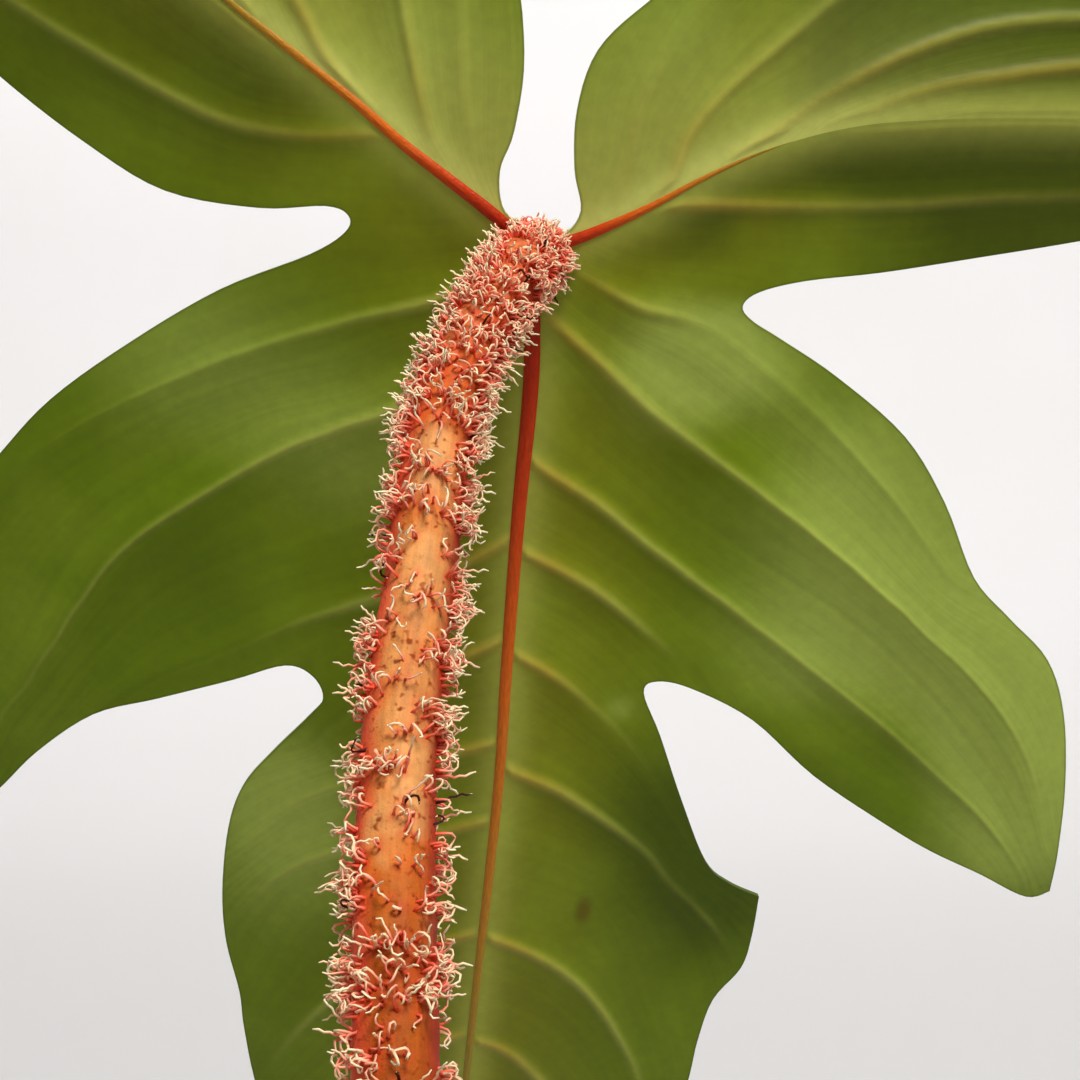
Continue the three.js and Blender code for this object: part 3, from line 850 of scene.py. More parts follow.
@dataclass(frozen=True)
class RibSkin:
    """The ribs' skin: red where they leave the petiole, fading through orange to green.

    Its tints are the least red one, the reddest, then those between.
    """

    name: str = "leaf_rib"
    tints: tuple[tuple[float, Colour], ...] = (
        (0.0, rgb(116, 128, 32)), (1.0, rgb(164, 30, 4)), (0.14, rgb(148, 130, 34)),
        (0.34, rgb(188, 122, 30)), (0.58, rgb(206, 98, 18)), (0.8, rgb(192, 60, 8)),
    )
    roughness: Point2 = (0.36, 0.46)

    def build(self) -> Material:
        """Build the material.

        Returns:
            The material.
        """
        graph = Finish(self.name, 0.15)
        red = graph.read("redness")
        _, _, along = graph.chart("skin", 6.0, 30.0)
        drift = graph.muladd(graph.noise(along, 1.0, 3.0), 0.16, graph.math("ADD", red, -0.08))
        tint = graph.ramp(drift, self.tints)
        tint = graph.shaded(tint, graph.fade(graph.noise(along, 3.0, 2.0), 0.3, 0.7, 0.88, 1.1))
        grain = graph.grain(graph.place(), 2400.0, 0.00004)
        gloss = graph.fade(grain[1], 0.3, 0.7, *self.roughness)
        return graph.dress(tint, gloss, grain[0])


@dataclass(frozen=True)
class PetioleSkin:
    """A petiole's skin, with the dark scars of bristles that fell off.

    Its front is brown low down, peach in its middle stretch and tan above that, with orange patches
    all the way. One flank is a lighter red with painted light on it and the other a darker red with
    painted shade. Its neck is flushed, and so is the skin round each bristle's root.
    """

    name: str = "petiole_skin"
    tan: Colour = rgb(224, 160, 94)
    peach: Colour = rgb(221, 154, 88)
    orange: Colour = rgb(206, 108, 36)
    brown: Colour = rgb(160, 76, 14)
    painted_light_flank: Colour = rgb(236, 92, 56)
    painted_shade_flank: Colour = rgb(158, 50, 28)
    flush: Colour = rgb(212, 84, 42)
    blush: Colour = rgb(206, 70, 36)
    scar: Colour = rgb(146, 56, 12)
    scar_height: float = 0.00008
    roughness: Point2 = (0.5, 0.66)

    def build(self) -> Material:
        """Build the material.

        Returns:
            The material.
        """
        graph = Finish(self.name, 0.12)
        turn, share, stripes = graph.chart("skin", 9.0, 5.0)
        place = graph.place()
        cloud = graph.noise(place, 130.0, 3.0)
        ragged = graph.muladd(cloud, 0.12, -0.06)
        aside = graph.math("ADD", graph.math("SUBTRACT", turn, 0.5), ragged)
        worn = graph.muladd(cloud, 0.05, share)
        middle = graph.times(graph.fade(worn, 0.725, 0.765), graph.fade(worn, 0.885, 0.84))
        pale = graph.mix(middle, self.tan, self.peach)
        patches = graph.fade(graph.noise(place, 75.0, 3.0), 0.44, 0.6)
        ripe = graph.times(patches, graph.fade(middle, 0, 1, 1, 0.55))
        tint = graph.mix(ripe, pale, self.orange)
        tint = graph.mix(graph.fade(worn, 0.735, 0.68, 0, 0.85), tint, self.brown)
        tint = graph.mix(graph.fade(share, 0.84, 0.94, 0, 0.65), tint, self.flush)
        # Painted light on one flank and painted shade on the other, laid over their red.
        tint = graph.mix(graph.fade(aside, -0.05, -0.16), tint, self.painted_light_flank)
        tint = graph.mix(graph.fade(aside, 0.08, 0.22), tint, self.painted_shade_flank)
        tint = graph.shaded(tint, graph.fade(graph.noise(stripes, 5.0, 4.0), 0.25, 0.75, 0.88, 1.1))
        tint = graph.shaded(tint, graph.fade(graph.noise(place, 330.0, 4.0, 0.65), 0.32, 0.68, 0.84, 1.1))
        tint = graph.mix(graph.times(graph.read("blush"), 0.5), tint, self.blush)
        crowd = graph.fade(graph.noise(place, 260.0, 2.0), 0.42, 0.6, 0, 0.08)
        scars = graph.fade(graph.math("ADD", graph.noise(place, 1300.0, 1.0, 0.4), crowd), 0.6, 0.84)
        tint = graph.mix(scars, tint, self.scar)
        bump = graph.muladd(scars, self.scar_height, graph.grain(place, 3600.0, 0.00003)[0])
        gloss = graph.fade(cloud, 0.3, 0.7, *self.roughness)
        return graph.dress(tint, gloss, bump)


@dataclass(frozen=True)
class BristleSkin:
    """The bristles: red roots, pink shafts and cream tips, with a few dried brown ones.

    Their tints are the root's, the tip's, then those between.
    """

    name: str = "bristle"
    tints: tuple[tuple[float, Colour], ...] = (
        (0.0, rgb(236, 88, 58)), (0.95, rgb(255, 242, 202)), (0.2, rgb(255, 132, 106)),
        (0.44, rgb(255, 178, 146)), (0.68, rgb(255, 220, 178)),
    )
    dried: Colour = rgb(62, 24, 14)

    def build(self) -> Material:
        """Build the material.

        Returns:
            The material.
        """
        graph = Finish(self.name, 0.15)
        along, _, _ = graph.chart("UVMap")
        tone = graph.read("tone")
        shifted = graph.math("ADD", along, graph.muladd(tone, 0.4, -0.2))
        tint = graph.mix(graph.fade(tone, 1.4, 1.6), graph.ramp(shifted, self.tints), self.dried)
        return graph.dress(tint, 0.5)


@dataclass(frozen=True)
class GreenStem:
    """The skin of the stem, its roots or the sheath, which browns low down, with pale corky flecks."""

    name: str = "stem_bark"
    young: Colour = rgb(112, 122, 58)
    old: Colour = rgb(122, 96, 62)
    fleck: Colour = rgb(176, 158, 118)
    fleck_height: float = 0.0001
    roughness: Point2 = (0.5, 0.72)

    def build(self) -> Material:
        """Build the material.

        Returns:
            The material.
        """
        graph = Finish(self.name, 0.4)
        place = graph.place()
        height = graph.part(place, 2)
        aged = graph.muladd(graph.noise(place, 70.0), 0.05, height)
        tint = graph.mix(graph.fade(aged, 0.12, 0.2), self.old, self.young)
        tint = graph.mix(graph.read("corky"), tint, self.fleck)
        flecks = graph.patches(place, 240.0, 0.3, 0.05)
        tint = graph.mix(graph.times(flecks, 0.55), tint, self.fleck)
        grain = graph.grain(place, 1500.0, 0.00012)
        tint = graph.shaded(tint, graph.fade(grain[1], 0.3, 0.7, 0.84, 1.1))
        bump = graph.muladd(flecks, self.fleck_height, grain[0])
        gloss = graph.fade(grain[1], 0.3, 0.7, *self.roughness)
        return graph.dress(tint, gloss, bump)


@dataclass(frozen=True)
class YoungLeaf:
    """The rolled new leaf: pale glossy green with fine lines, flushed with red towards its tip."""

    name: str = "young_leaf"
    green: Colour = rgb(166, 184, 84)
    flush: Colour = rgb(186, 130, 76)
    seam: Colour = rgb(150, 70, 40)
    line_height: float = 0.0002
    roughness: Point2 = (0.3, 0.42)

    def build(self) -> Material:
        """Build the material.

        Returns:
            The material.
        """
        graph = Finish(self.name, 0.5)
        turn, share, stripes = graph.chart("skin", 40.0, 3.0)
        tint = graph.mix(graph.fade(share, 0.35, 1.0), self.green, self.flush)
        lines = graph.noise(stripes, 1.0, 4.0)
        tint = graph.shaded(tint, graph.fade(lines, 0.25, 0.75, 0.84, 1.12))
        seam = graph.falloff(graph.math("PINGPONG", turn, 0.5), 0.02)
        tint = graph.mix(graph.times(seam, 0.6), tint, self.seam)
        bump = graph.muladd(lines, self.line_height, graph.grain(graph.place(), 2600.0, 0.00003)[0])
        gloss = graph.fade(lines, 0.3, 0.7, *self.roughness)
        return graph.dress(tint, gloss, bump)


@dataclass(frozen=True)
class Terracotta:
    """Fired clay: fine turning lines, a chalky bloom low down and at the rim, and darker damp clay.

    Coarse specks lie in small pits. Heights and depths are in metres.
    """

    name: str = "terracotta"
    clay: Colour = rgb(186, 104, 70)
    warm: Colour = rgb(202, 124, 88)
    bloom: Colour = rgb(222, 198, 178)
    damp: Colour = rgb(150, 80, 54)
    speck: Colour = rgb(120, 62, 42)
    ring_height: float = 0.00022
    pit_depth: float = 0.00012
    roughness: Point2 = (0.74, 0.92)

    def build(self) -> Material:
        """Build the material.

        Returns:
            The material.
        """
        graph = Finish(self.name, 0.3)
        place = graph.place()
        height = graph.part(place, 2)
        tint = graph.mix(graph.fade(graph.noise(place, 28.0, 5.0), 0.35, 0.7), self.clay, self.warm)
        wet = graph.muladd(graph.noise(place, 24.0, 4.0), 0.05, height)
        tint = graph.mix(graph.fade(wet, 0.055, 0.02, 0, 0.5), tint, self.damp)
        chalk = graph.patches(place, 42.0, 0.42, 0.12)
        low, rim = graph.fade(height, 0.07, 0.02), graph.fade(height, 0.098, 0.122)
        ends = graph.math("ADD", low, rim, clamp=True)
        tint = graph.mix(graph.times(chalk, graph.muladd(ends, 0.45, 0.1)), tint, self.bloom)
        grog, chance = graph.cells(place, 900.0)
        specks = graph.times(graph.fade(grog, 0.3, 0.16), graph.fade(chance, 0.8, 0.86))
        tint = graph.mix(graph.times(specks, 0.5), tint, self.speck)
        level = graph.muladd(graph.noise(place, 9.0), 0.004, height)
        rings = graph.noise(graph.add("ShaderNodeCombineXYZ", {2: level}).outputs[0], 620.0, 3.0)
        tint = graph.shaded(tint, graph.fade(rings, 0.3, 0.7, 0.93, 1.06))
        pitted = graph.muladd(specks, -self.pit_depth, graph.grain(place, 1900.0, 0.00006)[0])
        bump = graph.muladd(rings, self.ring_height, pitted)
        gloss = graph.fade(chalk, 0, 1, *self.roughness)
        return graph.dress(tint, gloss, bump)


class Crumb(Enum):
    """What the loose bits on the soil are made of: a name, two colours, and how grainy they are."""

    PEAT = ("soil_peat", rgb(52, 37, 27), rgb(86, 62, 44), 0.0005)
    BARK = ("soil_bark", rgb(96, 62, 38), rgb(146, 104, 66), 0.0003)
    PERLITE = ("soil_perlite", rgb(214, 208, 196), rgb(240, 238, 232), 0.0002)

    def build(self) -> Material:
        """Build the material.

        Returns:
            The material.
        """
        name, dark, light, depth = self.value
        graph = Finish(name, 0.2)
        place = graph.place()
        grain = graph.grain(place, 1300.0, depth)
        patch = graph.patches(place, 300.0, 0.5, 0.15)
        tint = graph.shaded(graph.mix(patch, dark, light), graph.fade(grain[1], 0.3, 0.7, 0.75, 1.15))
        gloss = graph.fade(patch, 0, 1, 0.95, 0.8)
        return graph.dress(tint, gloss, grain[0])


# Leaf pattern


class Field(Enum):
    """The four fields between a blade's red ribs: their number, and a place on their margin."""

    RIGHT_SIDE = (0, (60, -85))
    LEFT_SIDE = (1, (-48, -70.8))
    RIGHT_BASE = (2, (50, 46))
    LEFT_BASE = (3, (-62, 65))


# The blade's margin in its own millimetres, from one pointed end to the next, so that only the points
# stay sharp.
MARGINS: tuple[tuple[Point2, ...], ...] = (
    (
        (0.5, 2.5), (3.8, 2), (5.8, 5), (4.6, 10), (4.3, 17), (6.2, 24), (11.6, 29.8), (20, 36.5),
        (33, 42.5), (50, 46), (68, 45), (86, 40), (100, 32), (106, 23), (101, 15), (88, 9.5),
        (70, 5), (58, 2.3), (45, -0.5), (35, -2.1), (29.2, -3.8), (27.3, -5.7), (28.9, -7.6),
        (33, -9.9), (41.3, -14.8), (51.7, -22.6), (59, -32), (65.2, -43), (71.7, -49.3),
        (78.9, -56), (83.4, -65), (86.5, -77.6), (88.2, -90), (89, -98),
    ),
    (
        (89, -98), (85.3, -99), (77, -94.5), (68, -90), (60, -85), (47.5, -76.2), (37, -66.6),
        (27.5, -61.4), (22.4, -60.2), (20.7, -62), (23.8, -69), (28.3, -80.3), (33.4, -91.7),
        (37.5, -95.8), (42.5, -98.5),
    ),
    (
        (42.5, -98.5), (42.5, -106.5), (41.7, -112.8), (38.1, -119.3), (36.8, -128.2),
        (36.3, -138.5), (34, -152), (27.5, -168), (17.5, -184), (8, -195), (0, -206),
    ),
    (
        (0, -206), (-9, -193), (-19, -179), (-28, -163), (-33.4, -146), (-35.6, -132),
        (-36.3, -124), (-38.3, -114), (-38.8, -104), (-37.8, -92), (-35.6, -84), (-31.4, -77.5),
        (-26, -70.4), (-24, -67), (-25.6, -63.7), (-29.5, -62.6), (-37, -66.1), (-48, -70.8),
        (-57.6, -74.8), (-66.4, -82.6), (-73.3, -91), (-83, -101), (-94, -110), (-104, -116),
    ),
    (
        (-104, -116), (-104, -104), (-100, -87), (-92, -69), (-82, -52), (-70, -36.6),
        (-62, -27.2), (-51, -18), (-39, -9.5), (-27.5, -3.6), (-23, -0.2), (-22.6, 1.9),
        (-25.5, 2.8), (-34, 1.6), (-46, 2.4), (-56.2, 7.3), (-67, 14.4), (-79, 24), (-90, 36),
        (-97, 48), (-98, 57), (-92, 64), (-79, 67), (-62, 65), (-44, 60), (-26, 52.5), (-12, 43),
        (-5, 34), (-2.5, 23), (-3, 14), (-4.4, 9), (-3.4, 4.2), (0.5, 2.5),
    ),
)

# The three red ribs, from the petiole outwards.
MIDRIB: tuple[Point2, ...] = (
    (0, 0), (1.4, -16), (1.2, -36), (1.3, -60), (1.5, -74), (1.2, -92), (0.6, -115), (0.2, -140),
    (0, -196),
)
LEFT_RIB: tuple[Point2, ...] = (
    (0, 0), (-4.8, 3.8), (-10.4, 7.5), (-16.7, 11.6), (-22.9, 16.2), (-35.2, 24.3), (-52, 35),
    (-88, 54),
)
RIGHT_RIB: tuple[Point2, ...] = (
    (0, 0), (4.2, 1.1), (8.4, 3), (14.2, 6.2), (20, 9.9), (25.8, 13.1), (31.6, 15.6), (37.5, 17.4),
    (43.5, 18.5), (55.9, 19.8), (76, 20.8), (98, 21),
)

# The side veins of each field, with the number that each one has in the field's run of veins. A number
# that ends in a half belongs to a faint vein between two strong ones.
VEINS: dict[Field, tuple[tuple[float, tuple[Point2, ...]], ...]] = {
    Field.RIGHT_SIDE: (
        (-1, ((40, 18), (55.9, 19.8), (76, 20.8), (98, 21))),
        (0, ((15.5, 6.4), (20.4, 6.9), (33, 7.3), (45.6, 8.2), (58, 9.8), (68.5, 10.7), (94, 13.5))),
        (1, (
            (4, -1.4), (9, -3.9), (14.3, -6.4), (20.8, -7.7), (25.7, -9.9), (36.8, -17.9), (48, -28),
            (62, -43),
        )),
        (2, (
            (1.2, -5.5), (2.9, -8.2), (10, -14), (17.1, -20), (24.3, -24.9), (39.5, -35.5), (55.9, -48.3),
            (71.3, -62.1), (80, -74), (87, -90),
        )),
        (3, (
            (1.4, -26.8), (4.9, -29.3), (11.9, -33.7), (19.2, -39.5), (34.6, -50.9), (51.1, -63.3),
            (59.8, -70.3), (76.1, -85.2), (83, -94),
        )),
        (4, ((1.4, -40), (7.4, -43.1), (13.1, -46.6), (19.1, -51.6), (26, -58))),
        (5, ((1.4, -55), (4.4, -56.8), (8.8, -59.8), (13.4, -64), (21.4, -72.7), (31, -88))),
        (6, ((1.4, -73), (4.4, -74.7), (8.8, -77), (13.4, -80.3), (24.8, -90.3), (38, -107))),
        (7, (
            (1.2, -103), (5.2, -105.2), (9.9, -108.4), (14.9, -112.9), (20.2, -119.9), (27.4, -134.3),
            (31, -148),
        )),
        (8, ((1, -124), (7, -128), (18, -144), (27, -163))),
        (9, ((0.8, -144), (6, -149), (17, -171))),
        (10, ((0.7, -163), (5, -169), (10, -185))),
    ),
    Field.LEFT_SIDE: (
        (-1, ((-32, 22.2), (-52, 35), (-70, 44.5), (-88, 54))),
        (0, (
            (-18.6, 12.4), (-24, 11.6), (-29, 11.1), (-36.5, 11.5), (-42.7, 13.3), (-52.7, 17.6), (-63.8, 23),
            (-78, 31), (-92, 42),
        )),
        (1, (
            (-2, -2.5), (-11.4, -7.6), (-22.1, -11.3), (-35.1, -17), (-48.6, -24.3), (-61.3, -32.6),
            (-70.2, -41.1), (-84, -61), (-97, -92),
        )),
        (1.5, ((-22.5, -20.4), (-35, -24.9), (-50.2, -34.7), (-61.8, -45.2), (-71.2, -59.1), (-85, -82))),
        (2, (
            (0.6, -11), (-6, -16.8), (-15.2, -22.1), (-28.3, -28.6), (-41.9, -38.3), (-53.3, -48.6),
            (-62.5, -63.4), (-72.6, -80.3), (-85, -97), (-101, -112),
        )),
        (2.5, ((-9, -32), (-21.9, -38.7), (-34.9, -45.6), (-49.1, -55.7), (-59.8, -68.7), (-68, -81))),
        (3, ((1, -38), (-8, -45), (-18, -50.5), (-27.7, -55.5), (-33, -59), (-50, -69.5))),
        (4, ((1.2, -53), (-9, -60), (-19, -68), (-26, -76))),
        (5, ((1.4, -69), (-12, -76), (-24.2, -82.9), (-30.1, -87.6), (-37, -95))),
        (6, ((1.3, -82), (-12, -89), (-23.9, -94.5), (-31.5, -100.9), (-37, -110))),
        (7, ((1, -102), (-12, -111), (-25, -127), (-33, -142))),
        (8, ((0.6, -122), (-10, -131), (-23, -150), (-27, -161))),
        (9, ((0.3, -142), (-8, -150), (-19, -170))),
        (10, ((0.2, -162), (-6, -169), (-11, -184))),
    ),
    Field.RIGHT_BASE: (
        (-1, ((0.5, 1), (2.5, 4), (3.5, 9), (3.5, 20))),
        (0, ((6.5, 3.4), (9.3, 6.4), (10.8, 10.6), (12.3, 19), (16.8, 28.2), (23, 37))),
        (1, ((14.6, 7.2), (16.6, 10), (18.1, 15), (22.4, 20.9), (29, 27.4), (36, 34), (46, 43))),
        (2, (
            (25, 13.4), (31.2, 18.2), (36.8, 22.4), (42.6, 25.9), (48.4, 28.5), (54.4, 30.4), (64.3, 31.9),
            (84, 33.5),
        )),
        (3, ((35, 17.6), (43.1, 21.2), (49.1, 23.2), (55.2, 24.5), (65, 26.4), (92, 29.5))),
        (4, ((52, 19.5), (76, 20.8), (98, 21))),
    ),
    Field.LEFT_BASE: (
        (-1, ((-0.5, 1), (-3, 5), (-3, 12), (-3, 22))),
        (0, ((-5.2, 5), (-7.8, 9.5), (-9.4, 18), (-10.6, 28), (-13, 42))),
        (1, ((-9.4, 7.6), (-12.6, 12), (-14.6, 17.7), (-15.9, 22.2), (-17.3, 27.7), (-21, 42), (-26, 56))),
        (2, ((-22.6, 16.8), (-26.5, 21.3), (-28.4, 24.6), (-29.8, 26.7), (-37, 39), (-50, 61))),
        (3, ((-36, 25.6), (-44, 32.5), (-58, 46), (-75, 63))),
        (4, ((-52, 35.3), (-70, 45), (-88, 54))),
    ),
}

# Painted light and shade on the blade: painted sheen and highlights, paler, where the amount is above
# 0, and painted shade, deeper green, where it is below 0. Each gives the place, the reach and the amount.
PAINTED_LIGHT_AND_SHADE: tuple[tuple[float, float, float, float], ...] = (
    (29, -12, 10, 0.6), (46, -28, 17, 0.8), (64, -50, 17, 0.9), (79, -72, 16, 1.0), (82, -90, 12, 0.7),
    (21, -13, 9, 1.1), (43, 26, 12, -1.1), (75, -62, 11, 0.7), (-28, -94, 12, 0.3), (44, -54, 12, 0.3),
    (45, -52, 13, 0.4), (52, -76, 13, -0.4), (30, -24, 8, -0.4), (26, -82, 13, -0.8), (36, -98, 14, -1.0),
    (24, -116, 16, -0.2), (-30, -84, 12, 0.9), (-32, -104, 14, 0.4), (40, 11, 20, -0.7), (66, 12, 22, -0.8),
    (22, 5, 9, -0.6), (60, 26, 15, -1.0), (18, 24, 14, 0.45), (-14, 22, 11, 0.4), (-60, 16, 20, -0.5),
    (-34, 16, 13, -0.55), (-40, -50, 16, -0.4), (-66, -74, 18, -0.4), (-42, -18, 17, 0.6),
    (-21, -30, 13, 0.5), (0, -150, 30, -0.15), (25.7, -10, 2.6, 0.5), (17.7, -64.6, 2.6, 0.6),
    (28, 3.8, 4, 0.7), (37, 4.6, 5, 0.6), (47, 6.6, 5, 0.4),
)


def gap_to_line(spots: Array, line: Array) -> Array:
    """Measure how far points of the leaf's plane lie from a line.

    Args:
        spots: The points, one row each.
        line: The line's own points, one row each.

    Returns:
        The distance of each point.
    """
    start, along = line[:-1], np.diff(line, axis=0)
    length = (along**2).sum(1)
    nearest = np.full(len(spots), np.inf)
    for a, ab, square in zip(start, along, length):
        share = np.clip(((spots - a) @ ab) / square, 0, 1)
        gap = np.linalg.norm(spots - a - share[:, None] * ab, axis=1)
        nearest = np.minimum(nearest, gap)
    return nearest


@dataclass
class VeinRun:
    """A field's run of side veins, as one smooth number that is whole on each vein.

    Attributes:
        veins: Each vein's number and points, in millimetres.
        scale: The length, in millimetres, that the surface is worked out in.
        ease: How freely the surface may pass beside the points.
    """

    veins: Sequence[tuple[float, Sequence[Point2]]]
    scale: float = 100.0
    ease: float = 1e-4
    centres: Array = field(init=False)
    weights: Array = field(init=False)

    def __post_init__(self) -> None:
        """Stretch a thin plate over the veins' points."""
        lines = [(number, planar_spline(points, 2)) for number, points in self.veins]
        self.centres = np.vstack([line for _, line in lines]) / self.scale
        values = np.concatenate([np.full(len(line), number) for number, line in lines])
        count = len(values)
        plane = np.hstack([np.ones((count, 1)), self.centres])
        system = np.zeros((count + 3, count + 3))
        system[:count, :count] = self._bend(self.centres) + self.ease * np.eye(count)
        system[:count, count:] = plane
        system[count:, :count] = plane.T
        self.weights = np.linalg.solve(system, np.concatenate([values, np.zeros(3)]))

    def _bend(self, spots: Array) -> Array:
        """Give each centre's pull on each spot."""
        square = ((spots[:, None] - self.centres[None]) ** 2).sum(-1)
        return 0.5 * square * np.log(square + 1e-12)

    def number(self, spots: Array) -> Array:
        """Read the veins' number.

        Args:
            spots: The points, in millimetres, one row each.

        Returns:
            The number at each point.
        """
        scaled = spots / self.scale
        plane = np.hstack([np.ones((len(scaled), 1)), scaled])
        count = len(self.centres)
        return self._bend(scaled) @ self.weights[:count] + plane @ self.weights[count:]

    def spacing(self, spots: Array) -> Array:
        """Measure how far it is from one vein to the next.

        Args:
            spots: The points, in millimetres, one row each.

        Returns:
            The millimetres at each point.
        """
        step = 0.5
        slopes = [
            (self.number(spots + shift) - self.number(spots - shift)) / (2 * step)
            for shift in (np.array((step, 0)), np.array((0, step)))
        ]
        return 1 / np.maximum(np.hypot(*slopes), 0.02)


@dataclass
class BladePattern:
    """The shape that every leaf shares: its outline, its creases and its quilted side veins.

    Lengths are in millimetres in the blade's own plane: x across, y up from the petiole, with the
    underside towards +z. The ribs are its crests, its two halves are folded back, its lobes droop
    beyond droop_from, and each side lobe is raised along its middle vein. The quilting is full where
    veins are full_spacing apart. A reach is how fast a form falls away, a soft is how round its
    crease is, and a calm is how near a rib or the margin the quilting stops.
    """

    crest_height: float = 7.0
    crest_reach: float = 22.0
    crest_soft: float = 2.0
    fold_slope: float = 0.08
    fold_soft: float = 15.0
    droop_rate: float = 0.0009
    droop_from: float = 50.0
    quilt_depth: float = 1.0
    quilt_reach: float = 3.4
    quilt_soft: float = 0.5
    full_spacing: float = 13.0
    vein_height: float = 0.19
    vein_width: float = 0.9
    lobe_height: float = 3.0
    lobe_reach: float = 16.0
    lobe_soft: float = 3.5
    rib_calm: float = 5.0
    margin_calm: float = 9.0
    outline: Array = field(init=False)
    ribs: tuple[Array, ...] = field(init=False)
    runs: dict[Field, VeinRun] = field(init=False)
    crests: dict[Field, Array] = field(init=False)

    def __post_init__(self) -> None:
        """Work out the lines that the surface is made from."""
        self.outline = np.vstack([planar_spline(m, 5)[:-1] for m in MARGINS])[::-1]
        self.ribs = tuple(planar_spline(rib, 12) for rib in (MIDRIB, LEFT_RIB, RIGHT_RIB))
        self.runs = {part: VeinRun(veins) for part, veins in VEINS.items()}
        self.crests = {
            part: planar_spline(points, 6)
            for part in (Field.RIGHT_SIDE, Field.LEFT_SIDE)
            for number, points in VEINS[part]
            if number == 2
        }

    def rib_gap(self, spots: Array) -> Array:
        """Measure each point's distance from the nearest rib."""
        return np.min([gap_to_line(spots, rib) for rib in self.ribs], axis=0)

    def margin_gap(self, spots: Array) -> Array:
        """Measure each point's distance from the blade's margin."""
        return gap_to_line(spots, np.vstack([self.outline, self.outline[:1]]))

    def height(self, spots: Array) -> Array:
        """Give how far the smooth blade stands towards its underside.

        Args:
            spots: The points, one row each.

        Returns:
            The height at each point.
        """
        away = np.ones(len(spots))
        for rib in self.ribs:
            gap = np.hypot(gap_to_line(spots, rib), self.crest_soft) - self.crest_soft
            away = away * (1 - np.exp(-gap / self.crest_reach))
        fold = np.hypot(spots[:, 0], self.fold_soft) - self.fold_soft
        beyond = np.maximum(0, np.hypot(spots[:, 0], spots[:, 1]) - self.droop_from)
        return -self.crest_height * away - self.fold_slope * fold - self.droop_rate * beyond**2

    def field_of(self, spots: Array) -> Array:
        """Tell which field each point lies in.

        Args:
            spots: The points, one row each.

        Returns:
            The field's number for each point.
        """
        middle, left, right = self.ribs
        line_x = np.interp(-spots[:, 1], -middle[:, 1], middle[:, 0])
        is_right = spots[:, 0] > np.where(spots[:, 1] < 0, line_x, 0)
        left_y = np.interp(-spots[:, 0], -left[:, 0], left[:, 1])
        right_y = np.interp(spots[:, 0], right[:, 0], right[:, 1])
        is_base = spots[:, 1] > np.where(is_right, right_y, left_y)
        return np.where(is_base, 2, 0) + np.where(is_right, 0, 1)

    def veins(self, spots: Array, fields: Array) -> tuple[Array, Array]:
        """Read the side veins' numbers.

        Args:
            spots: The points, one row each.
            fields: The number of the field that each one belongs to.

        Returns:
            The veins' number and their spacing at each point.
        """
        number, spacing = np.zeros(len(spots)), np.ones(len(spots))
        for part, run in self.runs.items():
            here = fields == part.value[0]
            if here.any():
                number[here] = run.number(spots[here])
                spacing[here] = run.spacing(spots[here])
        return number, spacing

    def relief(self, spots: Array) -> Array:
        """Give the quilting's height over the smooth blade, with the side veins standing proud.

        Args:
            spots: The points, one row each.

        Returns:
            The height at each point.
        """
        fields, rib_gap = self.field_of(spots), self.rib_gap(spots)
        number, spacing = self.veins(spots, fields)
        gap = np.abs(number - np.round(number)) * spacing
        inner = 1 - bell(rib_gap, self.rib_calm)
        outer = 1 - bell(self.margin_gap(spots), self.margin_calm)
        flatter_tip = np.interp(-spots[:, 1], (60, 105), (1, 0.6))
        room = np.clip(spacing / self.full_spacing, 0, 1.1) * flatter_tip
        flank = np.hypot(gap, self.quilt_soft) - self.quilt_soft
        hollow = -self.quilt_depth * room * (1 - np.exp(-flank / (self.quilt_reach * room + 0.3)))
        ridge = self.vein_height * bell(gap, self.vein_width) * (1 - bell(rib_gap, 1.5))
        lobe = np.zeros(len(spots))
        for part, crest in self.crests.items():
            reach = np.hypot(gap_to_line(spots, crest), self.lobe_soft) / self.lobe_reach
            lobe = np.where(fields == part.value[0], self.lobe_height * np.exp(-reach), lobe)
        return (hollow * inner + ridge) * outer + lobe * (1 - bell(rib_gap, self.crest_reach))

    def tone(self, spots: Array) -> Array:
        """Tell where the blade has painted sheen and where it has painted shade.

        Args:
            spots: The points, one row each.

        Returns:
            A number for each point, above 0 where painted sheen makes it paler and below 0 where painted
            shade makes it deeper green.
        """
        total = np.zeros(len(spots))
        for x, y, reach, amount in PAINTED_LIGHT_AND_SHADE:
            square = (spots[:, 0] - x) ** 2 + (spots[:, 1] - y) ** 2
            total = total + amount * np.exp(-square / reach**2)
        return total


# Leaves


@dataclass(frozen=True)
class LeafPlan:
    """Where one leaf stands, in millimetres and degrees.

    Attributes:
        scale: Its size against the largest leaf.
        node: The height on the stem that its petiole grows from.
        junction: The point where its ribs meet.
        heading: The way it faces out, anticlockwise from +Y.
        droop: How far it leans out from hanging upright.
        roll: How far it is turned in its own plane.
        route: The points that its petiole runs through.
    """

    name: str
    scale: float
    mirrored: bool
    node: float
    junction: Point3
    heading: float
    droop: float
    roll: float
    route: tuple[Point3, ...]
    bristles: int

    def place(self) -> Matrix:
        """Work out where the blade goes.

        Returns:
            The matrix that carries the blade's own millimetres to the plant's metres.
        """
        turn = Matrix.Rotation(math.radians(self.heading), 4, "Z")
        hang = Matrix.Rotation(math.radians(90 + self.droop), 4, "X")
        roll = Matrix.Rotation(math.radians(self.roll), 4, "Z")
        side = -1 if self.mirrored else 1
        size = Matrix.Diagonal((side, 1, 1, 1)) @ Matrix.Scale(self.scale * MM, 4)
        return Matrix.Translation(Vector(self.junction) * MM) @ turn @ hang @ roll @ size


